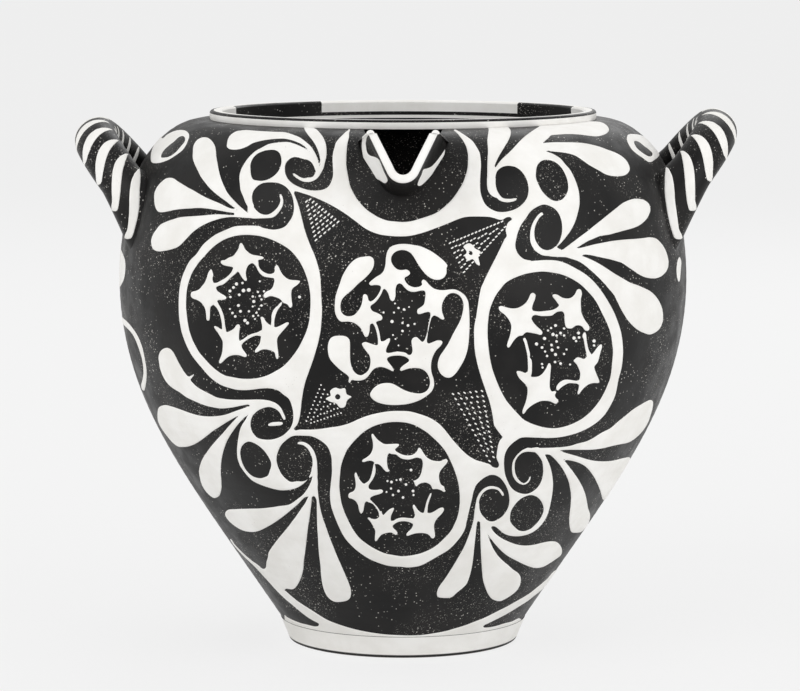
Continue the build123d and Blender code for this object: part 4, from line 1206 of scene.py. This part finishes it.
def spout_grid():
    """Rings of points from inside the wall to the spout's tip, and how many of a ring lie on its outside."""
    distances = np.linspace(rim_radius - wall, spout_reach, spout_samples)
    loops = np.stack([trough_loop(distance) for distance in distances])
    side = trough_arc_points + 2 * trough_side_points
    clear = np.hypot(loops[..., 0], distances[:, None]) - wall_radius(loops[..., 1])
    flare = spout_flare * np.clip((spout_top(spout_reach) - loops[-1, :, 1]) / spout_flare_depth, 0, 1)
    flare[side:] = 0
    rows = []
    for j in range(loops.shape[1]):
        start = np.interp(-wall * spout_start_share, clear[:, j], distances)
        skin_place = np.interp(0, clear[:, j], distances)
        run = start + (spout_reach - start) * np.linspace(0, 1, spout_rings)
        x, z = (np.interp(run, distances, loops[:, j, i]) for i in (0, 1))
        fade = np.clip(1 - (run - skin_place) / spout_flare_run, 0, 1) ** 2
        swell = flare[j] * fade * (run > skin_place - spout_flare_lead)
        chord = loops[-1, (j + 1) % loops.shape[1]] - loops[-1, j - 1]
        outward = np.array((-chord[1], chord[0])) / np.linalg.norm(chord)
        rows.append(np.stack((x + swell * outward[0], -run, z + swell * outward[1]), axis=-1))
    return np.stack(rows, axis=1), side


# The wall, with the notch for the spout cut through it


def wall_piece():
    """The whole wall, outside, mouth and inside, before its notch is cut."""
    turns = np.linspace(0, full_turn, wall_sides, endpoint=False)
    outer = outer_skin(turns[:, None], np.linspace(0, outside_length, wall_rings)[None], 0)
    inner = inner_skin(-turns[:, None], np.linspace(inside_length, 0, inner_rings)[None], 0)
    heights, looks = zip(*mouth_section)
    mouth = around_axis(turns, mouth_radius * np.ones(len(heights)), heights)
    points = np.concatenate((outer, mouth, inner), axis=1)
    columns = points.shape[1]
    faces = grid_faces(wall_sides, columns, True)
    piece = new_piece("jar_wall", points.reshape(-1, 3), faces, dark_slip)
    white = np.zeros((wall_sides, columns), bool)
    white[:, wall_rings : wall_rings + len(looks)] = white_faces(turns, looks)
    paint_white(piece, white.ravel())
    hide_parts("lower_wall", "shoulder_wall")
    return piece


def notch_cutter():
    """The space that the notch takes out of the wall, a little wider than the channel that lines it."""
    top = jar_height + wall
    rows = []
    for distance in np.linspace(mouth_radius - wall * 2, spout_reach, notch_rings):
        line = trough_line(distance, spout_wall - notch_clearance)
        section = np.concatenate((line, ((line[-1, 0], top), (line[0, 0], top))))
        rows.append(np.stack((section[:, 0], np.full(len(section), -distance), section[:, 1]), axis=-1))
    points = np.stack(rows)
    mesh = bpy.data.meshes.new("notch")
    mesh.from_pydata((points.reshape(-1, 3) * mm).tolist(), [], tube_faces(*points.shape[:2]))
    mesh.materials.append(dark_slip)
    return bpy.data.objects.new("notch", mesh)


def cut(piece, cutter):
    """Takes a cutter's space out of a piece."""
    bpy.context.scene.collection.objects.link(cutter)
    tool = piece.modifiers.new("notch", "BOOLEAN")
    tool.operation = "DIFFERENCE"
    tool.solver = "EXACT"
    tool.object = cutter
    bpy.context.view_layer.update()
    shape = bpy.data.meshes.new_from_object(piece.evaluated_get(bpy.context.evaluated_depsgraph_get()))
    piece.modifiers.clear()
    piece.data = shape
    bpy.data.objects.remove(cutter)
    shape.set_sharp_from_angle(angle=sharp_angle)


jar_wall = wall_piece()
wall_tree = BVHTree.FromObject(jar_wall, bpy.context.evaluated_depsgraph_get())
cut(jar_wall, notch_cutter())

# The rim, white outside and on top, with a dark line between them and white arcs inside
rim_turns = np.linspace(0, full_turn, rim_sides, endpoint=False)
across, up, rim_looks = zip(*rim_section)
rim_radii = mouth_radius + np.array(across) * rim_width
rim_heights = rim_seat + np.array(up) * rim_height
rim_points = around_axis(rim_turns, rim_radii, rim_heights)
rim_faces = grid_faces(rim_sides, len(rim_section), True)
rim = new_piece("rim", rim_points.reshape(-1, 3), rim_faces, dark_slip)
paint_white(rim, white_faces(rim_turns, rim_looks).ravel())
rim.data.set_sharp_from_angle(angle=sharp_angle)
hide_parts("rim_coil")

# The spout with its rounded lips, its root smoothed into the shoulder and its white end


def spout_piece(points, side):
    """The spout from the grid of its surface, whose end is rounded over and closed with strips of faces."""
    outside = np.arange(side)
    inside = 2 * side + lip_points - 1 - outside
    facing = [
        np.concatenate((line, np.full(lip_points, line[-1]), line[::-1], np.full(lip_points, line[0])))
        for line in (outside, inside)
    ]
    tip = points[-1]
    middle = (tip[facing[0]] + tip[facing[1]]) / 2
    rounding = []
    for share in tip_round_steps:
        angle = share * right_angle
        shrunk = tip + (middle - tip) * (1 - cos(angle)) * tip_round_share
        shrunk[:, 1] = -(spout_reach - tip_round * (1 - sin(angle)))
        rounding.append(shrunk)
    points = np.concatenate((points[:-1], [tip + (0, tip_round, 0)], rounding))
    rings, around = points.shape[:2]
    faces = grid_faces(rings, around, False)
    last = (rings - 1) * around
    strips = [(outside[j], inside[j], inside[j + 1], outside[j + 1]) for j in range(side - 1)]
    strips.append(tuple(range(side - 1, side + lip_points + 1))[::-1])
    strips.append((0, *range(around - 1, around - lip_points - 2, -1)))
    faces += [tuple(last + int(k) for k in strip) for strip in strips]
    end_faces = len(faces)
    faces += [tuple(int(k) for k in strip[::-1]) for strip in strips]
    piece = new_piece("spout", points.reshape(-1, 3), faces, dark_slip)
    white = np.zeros(len(faces), bool)
    white[(rings - len(tip_round_steps) - 1) * around : end_faces] = True
    paint_white(piece, white)
    piece.data.set_sharp_from_angle(angle=sharp_angle)
    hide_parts("spout_trough", "spout_luting")
    return points


spout_points, spout_side = spout_grid()
spout_points = spout_piece(spout_points, spout_side)

# The handles, with their roots smoothed into the shoulder, and their bands


def handle_grid(side, tilt, straight):
    """Points of a handle's surface from one root to the other, and the length of its rod."""
    outward = np.array((side * cos(tilt), 0, sin(tilt)))
    square = np.array((-side * sin(tilt), 0, cos(tilt)))
    sideways = np.array((0.0, 1.0, 0.0))
    foot = np.array((side * handle_foot_radius, 0, handle_foot_height))
    bend = half_turn * handle_half_span
    length = 2 * straight + bend
    runs = np.linspace(0, length, handle_samples)
    along = np.where(runs < straight, runs, np.where(runs > straight + bend, length - runs, straight))
    angle = np.clip((runs - straight) / handle_half_span, 0, half_turn)
    reach = along - handle_inset + handle_half_span * np.sin(angle)
    across = -handle_half_span * np.cos(angle)
    middle = foot + reach[:, None] * outward + across[:, None] * sideways
    in_plane = np.sin(angle)[:, None] * outward - np.cos(angle)[:, None] * sideways
    fade = straight + flare_turn * handle_half_span
    grow = np.clip(1 - np.minimum(runs, length - runs) / fade, 0, 1) ** flare_power
    half_in = (handle_thickness + grow * (flare_thickness - handle_thickness)) / 2
    half_out = (handle_breadth + grow * (flare_breadth - handle_breadth)) / 2
    turns = np.linspace(0, full_turn, handle_sides, endpoint=False) * side
    surface = (
        middle[:, None]
        + (half_in[:, None] * np.cos(turns))[..., None] * in_plane[:, None]
        + (half_out[:, None] * np.sin(turns))[..., None] * square
    )
    clear = np.hypot(surface[..., 0], surface[..., 1]) - wall_radius(surface[..., 2]) + wall / 2
    columns = []
    for j in range(handle_sides):
        out = np.flatnonzero(clear[:, j] > 0)
        first, last = runs[out[0]], runs[out[-1]]
        run = first + np.linspace(0, 1, handle_rings) * (last - first)
        columns.append(np.stack([np.interp(run, runs, surface[:, j, i]) for i in range(3)], axis=-1))
    return np.stack(columns, axis=1), length


def band_field(length):
    """The white crescents on the outside of a handle's loop, and the short bars on its inside."""
    pitch = (length - 2 * band_first) / (band_count - 1)

    def field(ring, column):
        run = ring / (handle_rings - 1) * length
        place = (run - band_first) / pitch
        beside = np.abs(place - np.clip(np.round(place), 0, band_count - 1)) * pitch
        from_outside = np.abs(column / handle_sides * full_turn - half_turn)
        crescent = band_half * (1 - (from_outside / band_reach) ** 2)
        bar = bar_share * band_half * (1 - ((half_turn - from_outside) / bar_reach) ** bar_squareness)
        return np.maximum(crescent, bar) - beside

    return field


for name, side, tilt, straight in handles:
    points, length = handle_grid(side, tilt, straight)
    tube = tube_faces(handle_rings, handle_sides)
    handle = new_piece(name, points.reshape(-1, 3), tube, dark_slip)
    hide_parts(name, f"{name}_luting")
    points = np.roll(points, handle_sides // 2, axis=1)
    slip_layer(
        f"{name}_bands",
        skin_over(np.concatenate((points, points[:, :1]), axis=1)),
        steps(0, handle_rings - 1, band_cell * handle_rings / length),
        steps(0, handle_sides, band_cell * handle_sides / (pi * handle_breadth)),
        band_field(length),
    )

# The painted ornament


def edge_turn(turn):
    """Eases the last turns before the side back to the jar's visible edge, where the pattern is mirrored."""
    past = np.clip((np.abs(turn) - edge_start) / (front_reach - edge_start), 0, 1)
    return turn - np.sign(turn) * edge_slack * past**2


def painted(skin, *groups):
    """A field in millimetres of what the groups of outlines leave white, as the photograph shows a skin."""
    layers = in_layers(*groups)

    def field(turn, run):
        if skin is outer_skin:
            turn = edge_turn(turn)
        x, y = seen_at(skin(turn, run, np.zeros(len(turn))))
        depth = np.full(len(turn), -field_reach_px)
        for white, outline in layers:
            inside = inside_distance(x, y, outline)
            depth = np.maximum(depth, inside) if white else np.minimum(depth, -inside)
        return depth / px_per_mm

    return field


def skin_region(group):
    """The turns and the runs between which the photograph shows a group of outlines."""
    corners = np.concatenate([places(text) for text in group.values()])
    low, high = corners.min(axis=0) - region_margin_px, corners.max(axis=0) + region_margin_px
    turn, run = np.meshgrid(
        np.linspace(-front_reach, front_reach, region_steps), np.linspace(0, outside_length, region_steps)
    )
    x, y = seen_at(outer_skin(turn, run, 0))
    held = (x > low[0]) & (x < high[0]) & (y > low[1]) & (y < high[1])
    return turn[held].min(), turn[held].max(), run[held].min(), run[held].max()


def slip_on(facing, name, region, cell, field):
    """A layer of slip on the front or the back, which carries the front's pattern the other way round.

    The region is the low and the high turn, then the low and the high run, between which it is looked for.
    """
    turn_low, turn_high, run_low, run_high = region
    turns, runs = turn_steps(turn_low, turn_high, cell), steps(run_low, run_high, cell)
    skin, way = (outer_skin, 1) if facing == "front" else (back_skin, -1)
    slip_layer(f"{facing}_{name}", skin, turns, runs, lambda turn, run: field(way * turn, run))


# The leaves on the outside of the spout
leaf_skin = skin_over(spout_points[:spout_rings, :spout_side])
slip_layer(
    "spout_leaves",
    leaf_skin,
    steps(0, spout_rings - 1, band_cell * spout_rings / (spout_reach - mouth_radius)),
    steps(0, spout_side - 1, band_cell * spout_side / (2 * spout_root_depth + spout_root_width)),
    painted(leaf_skin, (True, spout_leaves_px)),
)

# The frame, which goes all the way round in four pieces, and the medallions inside it
medallions = {
    "rosette": ((True, rosette_px), (False, rosette_heart_px)),
    "left_stars": ((True, left_stars_px),),
    "right_stars": ((True, right_stars_px),),
    "bottom_stars": ((True, bottom_stars_px),),
    "top_stars": ((True, moved(bottom_stars_px, *top_medallion_px)),),
    "blossoms": ((True, blossoms_px), (False, blossom_hearts_px)),
}
frame_field = painted(
    outer_skin,
    (True, frame_white_px),
    (False, fields_dark_px),
    (True, motifs_white_px),
    (False, slots_dark_px),
)
for facing in ("front", "back"):
    slip_on(facing, "frame_left", (-front_reach, 0, 0, outside_length), frame_cell, frame_field)
    slip_on(facing, "frame_right", (0, front_reach, 0, outside_length), frame_cell, frame_field)
    for name, groups in medallions.items():
        if (facing, name) == ("front", "top_stars"):
            continue
        turn_low, turn_high, run_low, run_high = skin_region(groups[0][1])
        if facing == "back":
            turn_low, turn_high = -turn_high, -turn_low
        region = (turn_low, turn_high, run_low, run_high)
        slip_on(facing, name, region, star_cell, painted(outer_skin, *groups))

# Small marks: the dots in the medallions and the hatching in the star


def hit(x, y):
    """Where the line of sight through a place in the photograph meets the wall, and the normal there."""
    right, down = (x - middle_px[0]) / lens_px, (y - middle_px[1]) / lens_px
    sight = camera_forward + camera_right * right - camera_up * down
    point, normal, _, _ = wall_tree.ray_cast(Vector(camera_place * mm), Vector(sight))
    return np.array(point) / mm, np.array(normal)


def marks(facing, listed):
    """One piece with a low dome for each mark: its place, its half length across and down and its radius."""
    points, faces = [], []
    angles = np.linspace(0, full_turn, dot_sides, endpoint=False)
    for x, y, long_x, long_y, radius in listed:
        middle, normal = hit(x, y)
        across, down = hit(x + 1, y)[0] - middle, hit(x, y + 1)[0] - middle
        ahead = np.sign(np.cos(angles) * long_x + np.sin(angles) * long_y)
        out_x = radius * np.cos(angles) + ahead * long_x
        out_y = radius * np.sin(angles) + ahead * long_y
        ring = out_x[:, None] * across + out_y[:, None] * down
        first = len(points)
        for size, lift in dot_profile:
            points.extend(middle + ring * size + normal * lift)
        points.append(middle + normal * slip_proud)
        for row in range(len(dot_profile) - 1):
            for k in range(dot_sides):
                here, there = first + row * dot_sides + k, first + row * dot_sides + (k + 1) % dot_sides
                faces.append((here, here + dot_sides, there + dot_sides, there))
        top = first + (len(dot_profile) - 1) * dot_sides
        faces += [(top + k, len(points) - 1, top + (k + 1) % dot_sides) for k in range(dot_sides)]
        faces.append(tuple(range(first, first + dot_sides)))
    points = np.array(points)
    if facing == "back":
        points *= (1, -1, 1)
        faces = [face[::-1] for face in faces]
    new_piece(f"{facing}_marks", points, faces, white_slip)


def hatching():
    """The marks of the hatching, row by row."""
    listed = []
    for *ends, rows, (few, many), (long_x, long_y) in hatching_px:
        first_start, first_end, last_start, last_end = np.array(ends, float)
        for share in np.linspace(0, 1, rows):
            start = first_start * (1 - share) + last_start * share
            end = first_end * (1 - share) + last_end * share
            for along in np.linspace(0, 1, round(few + share * (many - few))):
                x, y = start * (1 - along) + end * along
                listed.append((x, y, long_x, long_y, hatching_half_width_px))
    return listed


listed_marks = [(x, y, 0, 0, radius) for x, y, radius in places(dots_px)] + hatching()
marks("front", listed_marks)
marks("back", listed_marks)

# The studio


def looking(thing, aim):
    """Turns a camera or a lamp towards a point in metres."""
    thing.rotation_euler = (Vector(aim) - thing.location).to_track_quat("-Z", "Y").to_euler()


camera_data = bpy.data.cameras.new("camera")
camera_data.sensor_width = sensor_width
camera_data.lens = lens_px * sensor_width / image_width_px
camera_data.shift_x = (image_width_px / 2 - middle_px[0]) / image_width_px
camera_data.shift_y = (middle_px[1] - image_height_px / 2) / image_width_px
camera = bpy.data.objects.new("camera", camera_data)
camera.location = camera_place * mm
looking(camera, camera_aim * mm)
bpy.context.scene.collection.objects.link(camera)
bpy.context.scene.camera = camera

for name, place, size, power in lamps:
    lamp_data = bpy.data.lights.new(name, "AREA")
    lamp_data.size = size
    lamp_data.energy = power
    lamp = bpy.data.objects.new(name, lamp_data)
    lamp.location = place
    looking(lamp, camera_aim * mm)
    bpy.context.scene.collection.objects.link(lamp)

world = bpy.data.worlds.new("studio")
world.use_nodes = True
sky = world.node_tree.nodes["Background"]
sky.inputs["Color"].default_value = world_colour
sky.inputs["Strength"].default_value = world_strength
bpy.context.scene.world = world

floor_mesh = bpy.data.meshes.new("floor")
half = floor_size / 2
floor_corners = [(-half, -half, 0), (half, -half, 0), (half, half, 0), (-half, half, 0)]
floor_mesh.from_pydata(floor_corners, [], [(0, 1, 2, 3)])
floor_mesh.materials.append(floor_material())
floor = bpy.data.objects.new("floor", floor_mesh)
bpy.context.scene.collection.objects.link(floor)

bpy.context.scene.view_settings.view_transform = "Standard"
